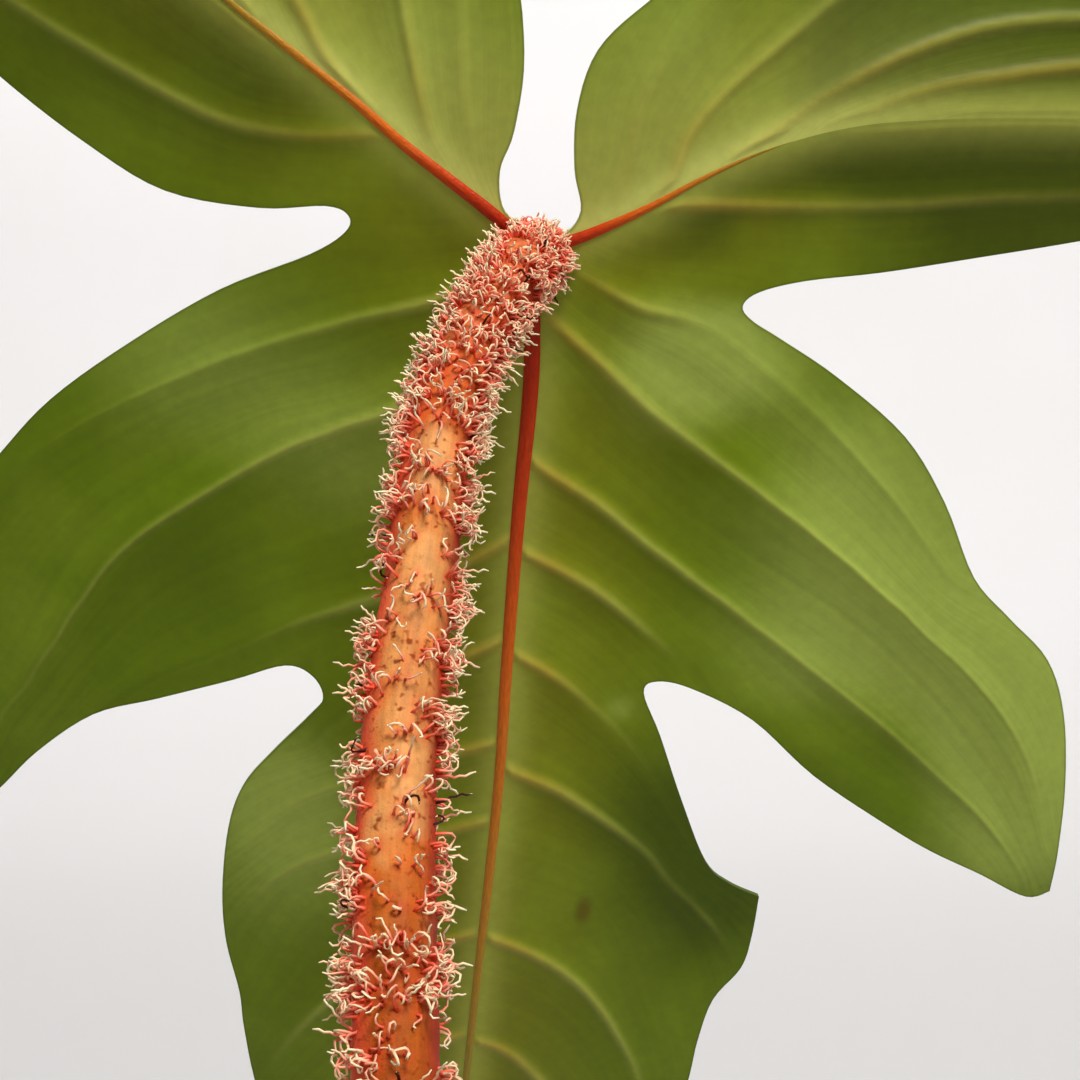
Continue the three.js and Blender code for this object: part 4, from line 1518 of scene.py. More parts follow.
LARGEST = LeafPlan(
    "leaf_1", 1.0, False, 186, (-1.2, 120, 431), 0, 22, -4.6,
    (
        (-2, 12, 209), (-9, 38, 272), (-13.2, 67, 345.6), (-14.3, 83, 373), (-12.8, 93, 391.5),
        (-11.2, 100.7, 406.8),
    ),
    5800,
)
OTHERS: tuple[LeafPlan, ...] = (
    LeafPlan(
        "leaf_2", 0.93, True, 171, (-68, -108, 378), 148, 26, 5,
        ((-8, -11, 194), (-31, -36, 253), (-53, -65, 314)), 1500,
    ),
    LeafPlan(
        "leaf_3", 0.87, False, 156, (118, -6, 334), -93, 28, -3,
        ((12, 1, 176), (44, 4, 226), (79, 5, 277)), 1400,
    ),
    LeafPlan(
        "leaf_4", 0.8, True, 142, (-112, 24, 306), 78, 30, 4,
        ((-11, 3, 161), (-41, 14, 206), (-74, 25, 253)), 1300,
    ),
    LeafPlan(
        "leaf_5", 0.68, False, 128, (39, -97, 270), 202, 33, 0,
        ((5, -9, 144), (19, -35, 183), (33, -65, 223)), 1100,
    ),
)

# The petiole's last points, in the blade's own millimetres: it comes up in front of the underside and
# bends over to the ribs' junction.
NECK_BEND: tuple[Point3, ...] = (
    (-7, -9.7, 19.5), (-4, -4.4, 12.5), (-1.5, -1.6, 7), (0, -1.2, 4), (0, -1.2, 0),
)


@dataclass
class BladeSheet:
    """The blade's middle surface, in its own millimetres, cut into small square cells of one size."""

    pattern: BladePattern
    cell: float

    def cut(self) -> BMesh:
        """Split the outline's face along the ribs into its fields, and those into cells.

        Returns:
            The flat sheet, with each face's field as its material index.
        """
        bm = bmesh.new()
        verts = [bm.verts.new((x, y, 0)) for x, y in self.pattern.outline]
        bm.faces.new(verts)

        def nearest(spot: Sequence[float]) -> bmesh.types.BMVert:
            """Find the margin's point that lies nearest."""
            return min(verts, key=lambda vert: (vert.co.xy - Vector(spot)).length)

        def split(start: bmesh.types.BMVert, end: bmesh.types.BMVert, line: Array) -> None:
            """Split the face between two of its points along a line."""
            face = next(f for f in start.link_faces if end in f.verts[:])
            bmesh.utils.face_split(face, start, end, coords=[(x, y, 0) for x, y in line])

        middle, left, right = self.pattern.ribs
        split(nearest(middle[-1]), nearest(left[-1]), np.vstack([middle[::-1], left[1:]]))
        junction = min(bm.verts, key=lambda vert: vert.co.length)
        split(junction, nearest(right[-1]), right[1:])
        split(nearest(MARGINS[0][0]), junction, [])
        for part in Field:
            nearest(part.value[1]).link_faces[0].material_index = part.value[0]
        bm.normal_update()
        low, high = self.pattern.outline.min(0), self.pattern.outline.max(0)
        for axis in (0, 1):
            count = int((high[axis] - low[axis]) / self.cell) + 1
            self._halve(bm, bm.faces[:], axis, float(low[axis]), count)
        return bm

    def _halve(self, bm: BMesh, faces: list, axis: int, low: float, count: int) -> None:
        """Cut faces into strips across one axis, halving them again and again.

        Args:
            bm: The sheet.
            faces: The faces to cut.
            axis: 0 to cut across x, 1 across y.
            low: Where the first strip starts.
            count: How many strips to leave.
        """
        if count < 2 or not faces:
            return
        half = count // 2
        line = low + half * self.cell
        normal = Vector((1 - axis, axis, 0))
        edges = dict.fromkeys(e for f in faces for e in f.edges)
        verts = dict.fromkeys(v for f in faces for v in f.verts)
        cut = bmesh.ops.bisect_plane(
            bm, geom=[*verts, *edges, *faces], plane_co=normal * line, plane_no=normal, dist=0.001
        )
        under: list = []
        over: list = []
        for piece in cut["geom"]:
            if isinstance(piece, bmesh.types.BMFace):
                (under if piece.calc_center_median()[axis] < line else over).append(piece)
        self._halve(bm, under, axis, low, half)
        self._halve(bm, over, axis, line, count - half)

    def build(self) -> bpy.types.Mesh:
        """Build the sheet, quilted, with its charts and attributes.

        Returns:
            The sheet, in the blade's own millimetres.
        """
        bm = self.cut()
        if next(iter(bm.faces)).normal.z < 0:
            bmesh.ops.reverse_faces(bm, faces=bm.faces[:])
        for edge in bm.edges:
            edge.smooth = not edge.is_boundary
        mesh = as_mesh(bm, "blade_sheet")
        places = values_of(mesh.vertices, "co", float, 3).reshape(-1, 3)
        spots = places[:, :2].copy()
        places[:, 2] = self.pattern.height(spots) + self.pattern.relief(spots)
        mesh.vertices.foreach_set("co", places.ravel())
        marks = {
            "rib_gap": self.pattern.rib_gap(spots),
            "margin_gap": self.pattern.margin_gap(spots),
            # shade: the painted light and shade that the underside's colour carries.
            "shade": self.pattern.tone(spots),
        }
        for name, values in marks.items():
            mark = mesh.attributes.new(name, "FLOAT", "POINT")
            mark.data.foreach_set("value", values.astype(np.float32))
        corners = values_of(mesh.loops, "vertex_index", np.int32)
        sizes = values_of(mesh.polygons, "loop_total", np.int32)
        parts = values_of(mesh.polygons, "material_index", np.int32)
        mesh.polygons.foreach_set("material_index", np.zeros_like(parts))
        pairs, back = np.unique(corners * 4 + np.repeat(parts, sizes), return_inverse=True)
        number, spacing = self.pattern.veins(spots[pairs // 4], pairs % 4)
        charts = {
            "leaf": spots[corners] / PLANE_UNIT,
            "veins": np.stack([number[back], np.hypot(*spots.T)[corners] / PLANE_UNIT], -1),
            "panel": np.stack([(pairs % 4 > 1)[back], spacing[back] / PLANE_UNIT], -1),
        }
        for name, values in charts.items():
            chart = mesh.uv_layers.new(name=name)
            chart.uv.foreach_set("vector", values.astype(np.float32).ravel())
        return mesh


@dataclass
class Blade:
    """One leaf's blade: a quilted sheet with three raised ribs on its underside."""

    plan: LeafPlan
    pattern: BladePattern
    thickness: float = 0.7 * MM
    rib_around: int = 12

    def settle(self, bm: BMesh) -> None:
        """Carry a mesh from the blade's own millimetres to its place on the plant.

        Args:
            bm: The mesh.
        """
        bm.transform(self.plan.place())
        if self.plan.mirrored:
            bmesh.ops.reverse_faces(bm, faces=bm.faces[:])

    def build_sheet(self, sheet: bpy.types.Mesh, underside: Material, upper: Material) -> None:
        """Build the sheet.

        Args:
            sheet: The sheet in its own millimetres.
            underside: The finish of the side that faces the petiole.
            upper: The finish of the other side.
        """
        bm = bmesh.new()
        bm.from_mesh(sheet)
        self.settle(bm)
        name = self.plan.name + "_blade"
        piece = add_piece(bm, name + "_sheet", (underside, upper), (name,))
        solid = piece.modifiers.new("thickness", "SOLIDIFY")
        solid.thickness = self.thickness
        solid.offset = 0
        solid.material_offset = 1
        solid.material_offset_rim = 0

    def build_ribs(self, skin: Material) -> None:
        """Build the ribs, each a tapering cord that stands out from the underside.

        Args:
            skin: Their finish.
        """
        bm = bmesh.new()
        for rib, (thick, thin, length, fade) in zip(self.pattern.ribs, RIB_SIZES):
            heights = self.pattern.height(rib) + self.pattern.relief(rib)
            path = Path([(x, y, z) for (x, y), z in zip(rib[::3], heights[::3])], samples=8)

            def radius(turn: Array, share: Array) -> Array:
                """Give the rib's radius, thick towards the underside and flat towards the upper side.

                Args:
                    turn: The points' turns.
                    share: Their shares of the length.

                Returns:
                    The radius at each point, in millimetres.
                """
                width = thin + (thick - thin) * np.exp(-share * path.length / length)
                down = np.maximum(-np.cos(2 * math.pi * turn), 0.05)
                return np.minimum(width, 0.25 / down) * np.clip((1 - share) * 12, 0.2, 1)

            def redness(turn: Array, share: Array, spots: Array) -> Array:
                """Give how red the rib still is."""
                return np.exp(-((share * path.length / fade) ** 1.6))

            along = int(path.length / 1.4) if self.plan is LARGEST else 50
            add_tube(bm, path, radius, self.rib_around, along, (0, 0, 1), marks={"redness": redness})
        self.settle(bm)
        name = self.plan.name + "_blade"
        add_piece(bm, name + "_ribs", (skin,), (name,))


# For each rib, in millimetres: its radius at the petiole and at its tip, how fast it thins, and how far
# its red reaches.
RIB_SIZES: tuple[tuple[float, float, float, float], ...] = (
    (1.22, 0.4, 105, 88),
    (1.0, 0.25, 52, 34),
    (1.0, 0.15, 24, 23),
)


class Curl(Enum):
    """How a bristle bends: the degrees that it turns by at each of its joints."""

    HOOK = (4, 8, 34, 46, 40, 24)
    ESS = (6, 30, 48, 6, -46, -52)
    WAVE = (10, -34, 42, -36, 44, -30)
    COIL = (8, 18, 34, 52, 58, 50)


@dataclass
class Petiole:
    """A leaf's stalk and its bristles, with lengths in metres and the radii of the largest leaf.

    Attributes:
        collar: How much thicker its neck is, over collar_share of its length.
        lump: How far the skin's soft lumps stand out.
        bare_foot: The length at the stem that has no bristles, as bare_neck is at the blade.
        dense_neck: How far from the blade the bristles stand thick.
        tuft_spread: How far apart the bristles of a tuft grow.
        blush_reach: How far the red round a bristle's root reaches.
        most_bristles: How many bristles one piece may hold.
    """

    plan: LeafPlan
    foot_radius: float = 5.2 * MM
    neck_radius: float = 3.6 * MM
    collar: float = 0.35 * MM
    collar_share: float = 0.05
    lump: float = 0.16 * MM
    lump_length: float = 3.2 * MM
    bare_foot: float = 14 * MM
    bare_neck: float = 0.4 * MM
    dense_neck: float = 29 * MM
    tuft_spread: float = 0.35 * MM
    bristle: float = 3.5 * MM
    root_depth: float = 0.2 * MM
    blush_reach: float = 0.6 * MM
    most_bristles: int = 4000
    path: Path = field(init=False)

    def __post_init__(self) -> None:
        """Lay the stalk's line from the stem to the blade."""
        place = self.plan.place()
        stem = in_metres(((0, 0, self.plan.node), *self.plan.route))
        self.path = Path(stem + [tuple(place @ Vector(spot)) for spot in NECK_BEND])

    @property
    def is_largest(self) -> bool:
        """Whether this is the largest leaf's, which has the finest mesh."""
        return self.plan is LARGEST

    def radius(self, share: Array) -> Array:
        """Give the smooth radius at shares of the length."""
        taper = self.foot_radius + (self.neck_radius - self.foot_radius) * share**0.8
        return (taper + self.collar * bell(1 - share, self.collar_share)) * self.plan.scale**0.5

    def thickset(self, share: float, turn: float) -> float:
        """Give the chance that a tuft of bristles grows at a place on the skin.

        Args:
            share: The place's share of the length.
            turn: Its turn.

        Returns:
            The chance, which is highest at the neck and higher on the flanks than in front.
        """
        near = 0.85 * bell((1 - share) * self.path.length, self.dense_neck)
        flank = 0.5 - 0.5 * math.cos(4 * math.pi * (turn - 0.5))
        angle = 2 * math.pi * turn
        along = share * self.path.length / (5 * MM)
        spot = Vector((along, 1.1 * math.cos(angle), 1.1 * math.sin(angle)))
        clump = min(1.0, max(0.0, 0.5 + 1.9 * noise.noise(spot + Vector((self.plan.node, 0, 0)))))
        thin = 0.3 * (0.6 + 0.6 * flank) * (0.25 + 1.1 * clump)
        return near + (1 - near) * thin

    def stretch(self, places: Array) -> Array:
        """Give how much longer the skin is than the stalk's middle, where the stalk bends.

        Args:
            places: Shares and turns, one row each.

        Returns:
            The factor at each place.
        """
        step = 0.01
        ahead, behind = (
            self.path.frames(np.clip(places[:, 0] + side, 0, 1))[0] for side in (step, -step)
        )
        bend = (ahead - behind) / (2 * step * self.path.length)
        return np.clip(1 - self.radius(places[:, 0]) * (bend * self.stand(places)[1]).sum(1), 0.1, 1.6)

    def sow(self) -> Array:
        """Choose where the bristles grow, in small tufts.

        Returns:
            Their shares and turns, one row each, in rising order.
        """
        chance = np.random.default_rng(int(self.plan.node))
        low, high = self.bare_foot / self.path.length, 1 - self.bare_neck / self.path.length
        tries = chance.uniform((low, 0, 0), (high, 1, 1.4), (6 * self.plan.bristles, 3))
        places: list[tuple[float, float]] = []
        for (share, turn, luck), skin in zip(tries, self.stretch(tries[:, :2])):
            if luck > skin * self.thickset(share, turn):
                continue
            for _ in range(chance.integers(2, 6)):
                along = share + chance.normal(0, self.tuft_spread) / self.path.length
                places.append((min(max(along, low), high), (turn + chance.normal(0, 0.035)) % 1))
        return np.array(sorted(places[: self.plan.bristles]))

    def build_skin(self, places: Array, skin: Material) -> None:
        """Build the stalk, with soft lumps, and with a mark for how near a bristle's root is.

        Args:
            places: Where the bristles grow.
            skin: The stalk's finish.
        """
        middles, spokes, _, _ = self.stand(places)
        tree = KDTree(len(places))
        for index, spot in enumerate(middles + spokes * self.radius(places[:, 0])[:, None]):
            tree.insert(spot, index)
        tree.balance()
        length = self.path.length

        def blush(turn: Array, share: Array, spots: Array) -> Array:
            """Give how near the skin is to a bristle's root."""
            gaps = np.array([tree.find(spot)[2] for spot in spots])
            return bell(gaps, self.blush_reach)

        def radius(turn: Array, share: Array) -> Array:
            """Give the skin's radius, with soft lumps."""
            spots = np.stack([share * length / self.lump_length, *circle(turn, 1.6)], -1)
            return self.radius(share) + self.lump * np.array([noise.noise(spot) for spot in spots])

        bm = bmesh.new()
        cell = (0.9 if self.is_largest else 2.2) * MM
        around = 40 if self.is_largest else 22
        add_tube(bm, self.path, radius, around, int(length / cell), marks={"blush": blush})
        name = self.plan.name + "_petiole"
        add_piece(bm, name + "_skin", (skin,), (name,))

    def stand(self, places: Array) -> tuple[Array, Array, Array, Array]:
        """Find how the skin lies at places on it.

        Args:
            places: Shares and turns, one row each.

        Returns:
            The stalk's middle, the outward direction, the one along the stalk and the one round it.
        """
        tangents, first, second = self.path.frames(places[:, 0])
        angle = 2 * math.pi * places[:, 1][:, None]
        spokes = first * np.cos(angle) + second * np.sin(angle)
        return self.path.at(places[:, 0]), spokes, tangents, np.cross(tangents, spokes)

    def build_bristles(self, places: Array, skin: Material) -> None:
        """Build the bristles, each one curling in its own way.

        Args:
            places: Where they grow.
            skin: Their finish.
        """
        chance = np.random.default_rng(int(self.plan.node) + 1)
        count = len(places)
        middles, spokes, tangents, sides = self.stand(places)
        curls = np.array([curl.value for curl in Curl], float)
        bends = curls[chance.choice(len(curls), count, p=(0.3, 0.34, 0.2, 0.16))]
        if not self.is_largest:
            bends = bends[:, 1::2] * 1.5
        bends = np.radians(bends * chance.uniform(0.85, 1.45, bends.shape))
        joints = bends.shape[1]
        neck = (1 - places[:, 0]) * self.path.length
        size = self.bristle * (1 - 0.3 * bell(neck, 22 * MM)) * self.plan.scale**0.5
        size = size * chance.uniform(0.72, 1.25, count)
        step = (size / (joints + 1))[:, None]
        lean = chance.normal(0, 0.32, (count, 2))
        heading = spokes + tangents * (lean[:, :1] + 0.12) + sides * lean[:, 1:]
        heading = unit(heading)
        axis = unit(np.cross(heading, chance.normal(size=(count, 3))))
        spot = middles + spokes * (self.radius(places[:, 0]) - self.root_depth)[:, None]
        line = [spot, spot + heading * step * 1.25]
        for joint in range(joints):
            angle = bends[:, joint][:, None]
            heading = heading * np.cos(angle) + np.cross(axis, heading) * np.sin(angle)
            axis = axis + 0.35 * chance.normal(size=(count, 3))
            axis = unit(axis - heading * (axis * heading).sum(1, keepdims=True))
            line.append(line[-1] + heading * step)
        shares, widths = (0, 0.15, 0.6, 0.92, 1), (0.26, 0.16, 0.138, 0.128, 0.08)
        taper = np.interp(np.linspace(0, 1, joints + 2), shares, widths)
        radii = taper * MM * chance.uniform(0.85, 1.15, (count, 1))
        tones = chance.uniform(size=count) - 0.5 * bell(neck, 13 * MM)
        tones = np.where(chance.uniform(size=count) < 0.015, 2.0, tones)
        lines = np.stack(line, 1)
        parts = np.array_split(np.arange(count), math.ceil(count / self.most_bristles))
        for index, part in enumerate(parts):
            name = f"{self.plan.name}_bristles_{index + 1}"
            bm = strands(name, lines[part], radii[part], tones[part])
            add_piece(bm, name, (skin,), (self.plan.name + "_petiole",))


# Stem, new leaf, soil and pot


@dataclass
class Stem:
    """The stem with its leaf scars, its aerial roots and the roots in the soil, in millimetres.

    It swells at its nodes, which leaves grow from, and a sunken ring lies scar_drop under each.
    """

    foot: float = 66
    top: float = 204
    foot_radius: float = 8.2
    top_radius: float = 6.2
    nodes: tuple[float, ...] = (186, 171, 156, 142, 128)
    swell: float = 0.9
    swell_reach: float = 4
    scar_drop: float = 5.5
    scar_depth: float = 0.35
    ridges: int = 9
    ridge_height: float = 0.12

    AERIAL = (
        ((0, 0, 171), (13, 9, 160), (21, 15, 132), (23, 17, 96)),
        ((0, 0, 142), (8, -14, 136), (11, -24, 120), (12, -27, 97)),
        ((0, 0, 156), (-9, 13, 148), (-16, 23, 128), (-17, 26, 95)),
    )
    BURIED = (
        ((0, 0, 76), (16, 4, 66), (30, 10, 44), (33, 14, 22)),
        ((0, 0, 74), (-12, 14, 62), (-20, 27, 40), (-26, 27, 20)),
        ((0, 0, 75), (-14, -10, 60), (-27, -20, 42), (-24, -30, 20)),
        ((0, 0, 73), (8, -15, 60), (13, -29, 42), (22, -30, 18)),
        ((0, 0, 78), (2, 3, 50), (-3, -2, 32), (3, 2, 14)),
    )

    def radius(self, turn: Array, share: Array) -> Array:
        """Give the stem's radius, with its rings and low ridges.

        Args:
            turn: The points' turns.
            share: Their shares of the length.

        Returns:
            The radius at each point, in metres.
        """
        height = self.foot + (self.top - self.foot) * share
        radius = self.foot_radius + (self.top_radius - self.foot_radius) * share
        for node in self.nodes:
            radius = radius + self.swell * bell(height - node, self.swell_reach)
            radius = radius - self.scar_depth * bell(height - node + self.scar_drop, 0.9)
        wave = np.sin(2 * math.pi * turn * self.ridges + height * 0.12)
        radius = radius + self.ridge_height * wave
        return radius * rounded_ends(share, self.top - self.foot, self.top_radius) * MM

    def corky(self, turn: Array, share: Array, spots: Array) -> Array:
        """Give where the pale rings of old leaf scars are."""
        height = spots[:, 2] / MM
        return sum(0.8 * bell(height - node + self.scar_drop, 1.2) for node in self.nodes)

    def build(self, bark: Material, root_skin: Material) -> None:
        """Build the stem and its roots as one piece.

        Args:
            bark: The stem's finish.
            root_skin: The roots' finish.
        """
        bm = bmesh.new()
        path = Path([(0, 0, self.foot * MM), (0, 0, self.top * MM)])
        add_tube(bm, path, self.radius, 28, 150, marks={"corky": self.corky})
        plain = {"corky": lambda turn, share, spots: np.zeros(len(share))}
        for radius, routes in ((1.5 * MM, self.AERIAL), (2.0 * MM, self.BURIED)):
            for route in routes:
                path = Path(in_metres(route))

                def thickness(turn: Array, share: Array) -> Array:
                    """Give the root's radius, a little knotted."""
                    knots = 1 + 0.05 * np.sin(share * 61) + 0.04 * np.sin(share * 147 + 1)
                    return radius * (1 - 0.4 * share) * knots * rounded_ends(share, path.length, radius)

                add_tube(bm, path, thickness, 10, 48, marks=plain, material=1)
        add_piece(bm, "stem_and_roots", (bark, root_skin), ("stem",))


@dataclass
class NewLeaf:
    """The next leaf, still rolled into a spear, in the papery sheath that it came out of.

    Its route is in millimetres, and the sheath covers the sheathed share of it.
    """

    radius: float = 3.7 * MM
    tip: float = 0.25 * MM
    route: tuple[Point3, ...] = ((0, 0, 204.3), (0, 0, 216), (2, 3, 230), (5, 5, 254), (5, 7, 284))
    sheathed: float = 0.42

    def build(self, skin: Material, sheath: Material) -> None:
        """Build the rolled blade and the sheath.

        Args:
            skin: The roll's finish.
            sheath: The sheath's finish.
        """
        path = Path(in_metres(self.route))

        def rolled(turn: Array, share: Array) -> Array:
            """Give the roll's radius, with the lap of its outer edge."""
            body = self.radius * (1 + 0.8 * share) * (1 - share**2.2) + self.tip
            return body * (0.94 + 0.12 * turn) * rounded_ends(share, path.length, self.radius)

        bm = bmesh.new()
        add_tube(bm, path, rolled, 40, 110, twist=0.8)
        lower = Path([tuple(spot) for spot in path.at(np.linspace(0, self.sheathed, 7))])

        def wrapped(turn: Array, share: Array) -> Array:
            """Give the sheath's radius, which opens on one side towards its point."""
            return self.radius * (1.12 + 0.25 * share) * (1 - 0.5 * share**6) * (0.97 + 0.06 * turn)

        add_tube(bm, lower, wrapped, 32, 40, twist=0.3, material=1)
        add_piece(bm, "rolled_new_leaf", (skin, sheath), ("new_leaf",))


@dataclass
class Soil:
    """The potting soil, in millimetres: a lumpy body with crumbs of peat, bark and perlite on it."""

    top: float = 111
    lump: float = 2.0
    crumbs: int = 420
    spread: float = 62

    def height(self, x: float, y: float) -> float:
        """Give the surface's height.

        Args:
            x: The place's x, in millimetres.
            y: Its y.

        Returns:
            The height, in millimetres.
        """
        spot = Vector((x / 14, y / 14, 0))
        rough = noise.noise(spot) + 0.45 * noise.noise(spot * 3.1) + 0.25 * noise.noise(spot * 8)
        return self.top + self.lump * rough

    def build(self, peat: Material, bark: Material, perlite: Material) -> None:
        """Build the body of soil and its crumbs.

        Args:
            peat: The finish of the body and of most crumbs.
            bark: The finish of the chips of bark.
            perlite: The finish of the white grains.
        """
        shares = (0, 0.08, 0.1, 0.2, 0.24, 0.27, 1)
        radii = (0, 41.4, 44.4, 64.7, 66.2, 64.9, 0)
        heights = (5.3, 5.3, 8.3, 100, 109.5, 111, 111)

        def place(turn: Array, share: Array) -> Array:
            """Put the skin's points round the body, with the top ones raised by the lumps.

            Args:
                turn: The points' turns.
                share: Their shares of the way from the underside's middle to the top's.

            Returns:
                The points, one row each.
            """
            radius, level = np.interp(share, shares, radii), np.interp(share, shares, heights)
            spots = np.stack([*circle(turn, radius), level], -1)
            for spot, part in zip(spots, share):
                if part > shares[5]:
                    spot[2] = self.height(spot[0], spot[1])
            return spots * MM

        bm = bmesh.new()
        add_skin(bm, 150, 110, place)
        chance = random.Random(4)
        for index in range(self.crumbs):
            angle = chance.uniform(0, 2 * math.pi)
            radius = self.spread * math.sqrt(chance.uniform(0.03, 1))
            x, y = radius * math.cos(angle), radius * math.sin(angle)
            size = chance.uniform(0.7, 1.6) if index % 5 else chance.uniform(1.4, 2.6)
            spot = Vector((x, y, self.height(x, y) + size * 0.25)) * MM
            tilt = chance.uniform(0, 6.3)
            turn = Matrix.Rotation(tilt, 4, Vector((chance.gauss(0, 1), chance.gauss(0, 1), 1)))
            sizes = [chance.uniform(low, high) for low, high in ((0.9, 1.9), (0.6, 1.2), (0.4, 0.9))]
            shape = Matrix.Diagonal((*sizes, 1))
            made = bmesh.ops.create_icosphere(
                bm, subdivisions=1, radius=size * MM, matrix=Matrix.Translation(spot) @ turn @ shape
            )["verts"]
            for vert in made:
                vert.co += Vector([chance.gauss(0, 0.09 * size * MM) for _ in range(3)])
            kind = 2 if index % 4 == 0 else index % 2
            for face in dict.fromkeys(f for v in made for f in v.link_faces):
                face.material_index = kind
        add_piece(bm, "potting_soil_body", (peat, bark, perlite), ("soil",))


@dataclass
class Pot:
    """A plain clay pot, in millimetres, with a thick rim and a circle of drainage holes."""

    steps: int = 128
    drain_radius: float = 5.5
    drain_circle: float = 30
    drains: int = 4

    def profile(self) -> list[Point2]:
        """Draw the turned wall's line.

        Returns:
            Its points, in metres, from under the middle, up the outside and down the inside.
        """
        points = [(0, 0), (47.2, 0), (48.6, 0.35), (49.6, 1.3), (50, 2.4)]
        points += [(50 + 20 * (z - 2.4) / 97.6, z) for z in np.linspace(6, 99.2, 24)]
        points += [(72.6, 99.6), (73.9, 100.1), (74.6, 101.3), (74.8, 103), (75.3, 112), (75.9, 121)]
        points += [(75.9, 123), (75.2, 124.4), (74, 125), (72, 125), (70.6, 124.4), (69.7, 122.8)]
        points += [(65 + 4.5 * (z - 100) / 22.8, z) for z in np.linspace(118, 100, 5)]
        points += [(65 - 20 * (100 - z) / 92, z) for z in np.linspace(94, 10, 20)]
        points += [(44.4, 7), (42.6, 5.3), (40, 5), (0, 5)]
        return [(radius * MM, height * MM) for radius, height in points]

    def build(self, clay: Material) -> None:
        """Turn the pot and cut its drainage holes.

        Args:
            clay: Its finish.
        """
        bm = bmesh.new()
        add_lathe(bm, self.profile(), self.steps)
        cutter_bm = bmesh.new()
        for drain in range(self.drains):
            angle = 2 * math.pi * (drain + 0.5) / self.drains
            spot = Vector((math.cos(angle), math.sin(angle), 0)) * self.drain_circle * MM
            bmesh.ops.create_cone(
                cutter_bm, cap_ends=True, segments=40, radius1=self.drain_radius * MM,
                radius2=self.drain_radius * MM, depth=30 * MM, matrix=Matrix.Translation(spot),
            )
        cutter = show("drain_cutter", as_mesh(cutter_bm, "drain_cutter"))
        blank = show("pot_blank", as_mesh(bm, "pot_blank"))
        cut = blank.modifiers.new("drains", "BOOLEAN")
        cut.operation, cut.solver, cut.object = "DIFFERENCE", "EXACT", cutter
        shape = blank.evaluated_get(bpy.context.evaluated_depsgraph_get())
        bored = bpy.data.meshes.new_from_object(shape)
        bm = bmesh.new()
        bm.from_mesh(bored)
        for used in (cutter.data, blank.data, bored):
            bpy.data.meshes.remove(used)
        piece = add_piece(bm, "terracotta_pot", (clay,), ("pot",))
        floor_top, bored_reach = 5.2 * MM, 38 * MM
        for polygon in piece.data.polygons:
            in_floor = polygon.center.z < floor_top and polygon.center.xy.length < bored_reach
            if in_floor and abs(polygon.normal.z) < 0.2:
                polygon.use_smooth = False


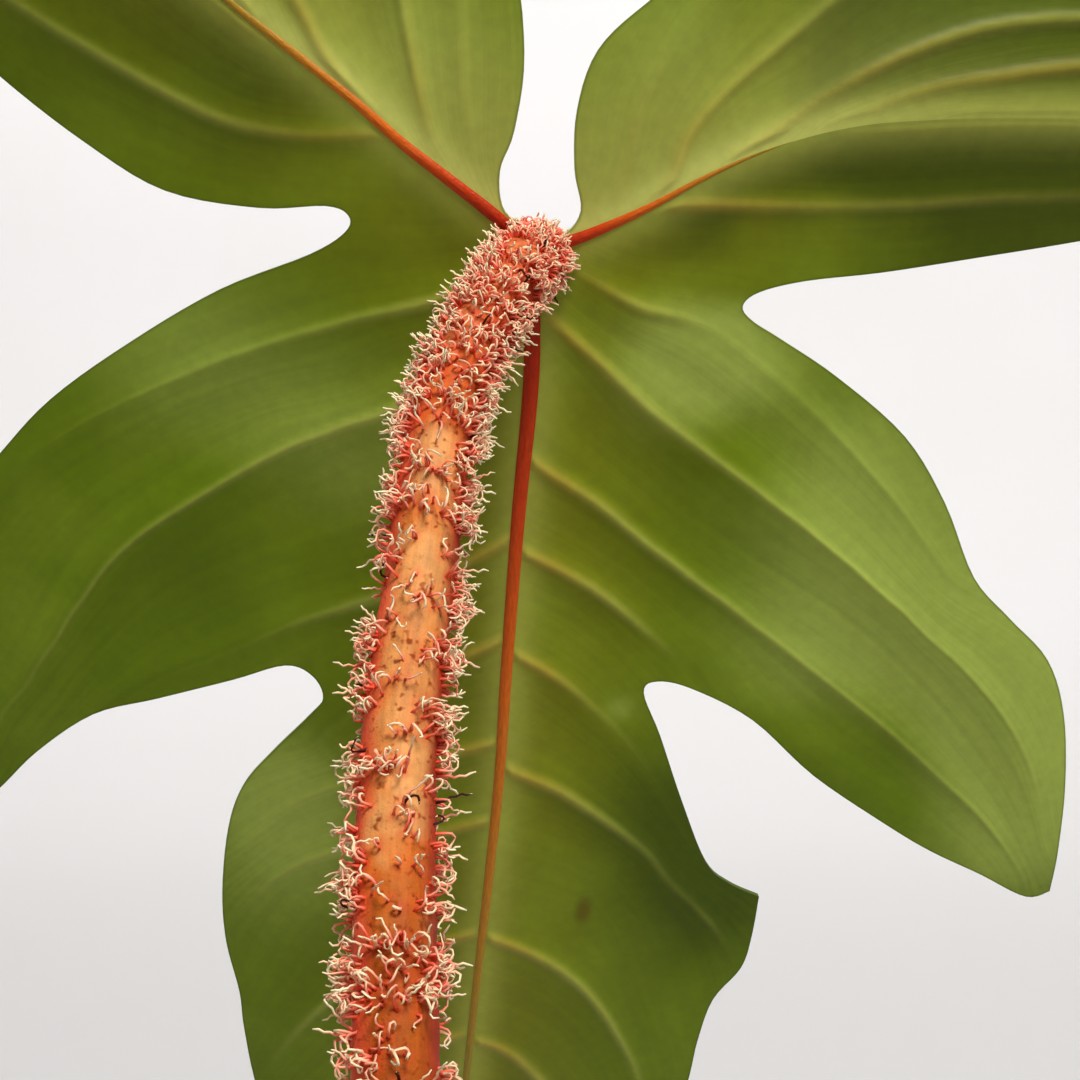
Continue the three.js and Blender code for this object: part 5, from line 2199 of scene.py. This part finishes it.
@dataclass
class Studio:
    """The pale round cove, the soft lights and the camera.

    The floor reaches out flat and curves up to the wall, in metres. The backdrop is pale far behind
    the plant and has painted shade, darker, where it comes nearer, and the air is the light from all
    round. The camera sees half_view degrees to each side.
    """

    reach: float = 2.0
    curve: float = 0.9
    wall: float = 3.2
    pale: tuple[Colour, Colour] = (rgb(233, 232, 232), rgb(237, 236, 237))
    # near: the painted shade of the floor and wall nearer the plant.
    near: Colour = rgb(204, 203, 203)
    lamp_tint: Colour = rgb(255, 253, 250)
    air_tint: Colour = rgb(240, 243, 248)
    air: float = 0.2
    eye: Point3 = (0, -0.085, 0.395)
    half_view: float = 18
    sensor: float = 36

    def build_cove(self) -> None:
        """Build the floor and the wall as one turned shell."""
        graph = Finish("pale_backdrop", 0.2)
        place = graph.place()
        cloud = graph.noise(place, 1.3, 2.0)
        tint = graph.mix(graph.fade(cloud, 0.35, 0.65), *self.pale)
        depth = graph.part(place, 1)
        # Painted shade: the cove grows darker where it comes nearer than 3.5 m along +Y, fully so nearer than
        # 1.2 m.
        tint = graph.mix(graph.fade(depth, 3.5, 1.2), tint, self.near)
        material = graph.dress(tint, graph.fade(cloud, 0, 1, 0.85, 0.95))
        bend = [math.radians(angle) for angle in range(0, 91, 6)]
        profile = [(0.0, 0.0), (0.5, 0.0), (1.2, 0.0)]
        profile += [(self.reach + self.curve * math.sin(a), self.curve * (1 - math.cos(a))) for a in bend]
        profile += [(self.reach + self.curve, self.wall)]
        bm = bmesh.new()
        add_lathe(bm, profile, 96)
        if next(iter(bm.faces)).normal.z < 0:
            bmesh.ops.reverse_faces(bm, faces=bm.faces[:])
        mesh = as_mesh(bm, "pale_cove")
        mesh.materials.append(material)
        show("pale_cove", mesh)

    def add_lamp(self, name: str, spot: Point3, aim: Point3, size: float, watts: float) -> None:
        """Hang one soft square light.

        Args:
            name: The lamp's name.
            spot: Where it hangs.
            aim: The point that it looks at.
            size: Its side's length.
            watts: Its power.
        """
        lamp = bpy.data.lights.new(name, "AREA")
        lamp.shape, lamp.size, lamp.energy, lamp.color = "SQUARE", size, watts, self.lamp_tint[:3]
        holder = show(name, lamp)
        turn = (Vector(aim) - Vector(spot)).to_track_quat("-Z", "Y").to_matrix().to_4x4()
        holder.matrix_world = Matrix.Translation(spot) @ turn
        holder.visible_camera = False

    def build_lights(self) -> None:
        """Light the plant from above and in front, and the backdrop evenly."""
        self.add_lamp("key", (0.4, -0.8, 1.65), (0, 0.1, 0.36), 0.6, 30)
        self.add_lamp("wall_left", (-1.1, 1.2, 2.6), (-0.6, 2.9, 1.1), 1.0, 28)
        self.add_lamp("wall_right", (1.1, 1.2, 2.6), (0.8, 2.9, 1.1), 1.0, 35)
        world = bpy.data.worlds.new("studio_air")
        world.use_nodes = True
        background = world.node_tree.nodes["Background"]
        background.inputs["Color"].default_value = self.air_tint
        background.inputs["Strength"].default_value = self.air
        bpy.context.scene.world = world

    def build_camera(self) -> None:
        """Set the camera close under the largest leaf, looking level along +Y."""
        lens = bpy.data.cameras.new("camera")
        lens.sensor_width = self.sensor
        lens.lens = self.sensor / 2 / math.tan(math.radians(self.half_view))
        lens.clip_start = 0.005
        camera = show("camera", lens)
        camera.matrix_world = Matrix.Translation(self.eye) @ Matrix.Rotation(math.pi / 2, 4, "X")
        bpy.context.scene.camera = camera
        bpy.context.scene.view_settings.view_transform = "Standard"
        bpy.context.scene.view_settings.look = "None"


def main() -> None:
    """Build the plant, its pot and the studio in order."""
    logging.basicConfig(level=logging.INFO, format="%(message)s")
    studio = Studio()
    studio.build_camera()
    studio.build_lights()
    studio.build_cove()
    pattern = BladePattern()
    fine_sheet, plain_sheet = BladeSheet(pattern, 0.95).build(), BladeSheet(pattern, 2.0).build()
    upper, ribs = UpperSide().build(), RibSkin().build()
    plain_underside = Underside().build()
    marked_underside = Underside("leaf_1_underside", blemish=(15.7, -100.2)).build()
    stalk, hairs = PetioleSkin().build(), BristleSkin().build()
    for plan in (LARGEST, *OTHERS):
        blade = Blade(plan, pattern)
        if plan is LARGEST:
            blade.build_sheet(fine_sheet, marked_underside, upper)
        else:
            blade.build_sheet(plain_sheet, plain_underside, upper)
        blade.build_ribs(ribs)
        petiole = Petiole(plan)
        places = petiole.sow()
        petiole.build_skin(places, stalk)
        petiole.build_bristles(places, hairs)
    for sheet in (fine_sheet, plain_sheet):
        bpy.data.meshes.remove(sheet)
    root_skin = GreenStem("root_skin", rgb(168, 132, 88), rgb(128, 92, 60), rgb(190, 164, 122))
    Stem().build(GreenStem().build(), root_skin.build())
    sheath = GreenStem("sheath", rgb(196, 150, 112), rgb(170, 120, 84), rgb(214, 180, 140))
    NewLeaf().build(YoungLeaf().build(), sheath.build())
    Soil().build(*(crumb.build() for crumb in Crumb))
    Pot().build(Terracotta().build())


if __name__ == "__main__":
    main()
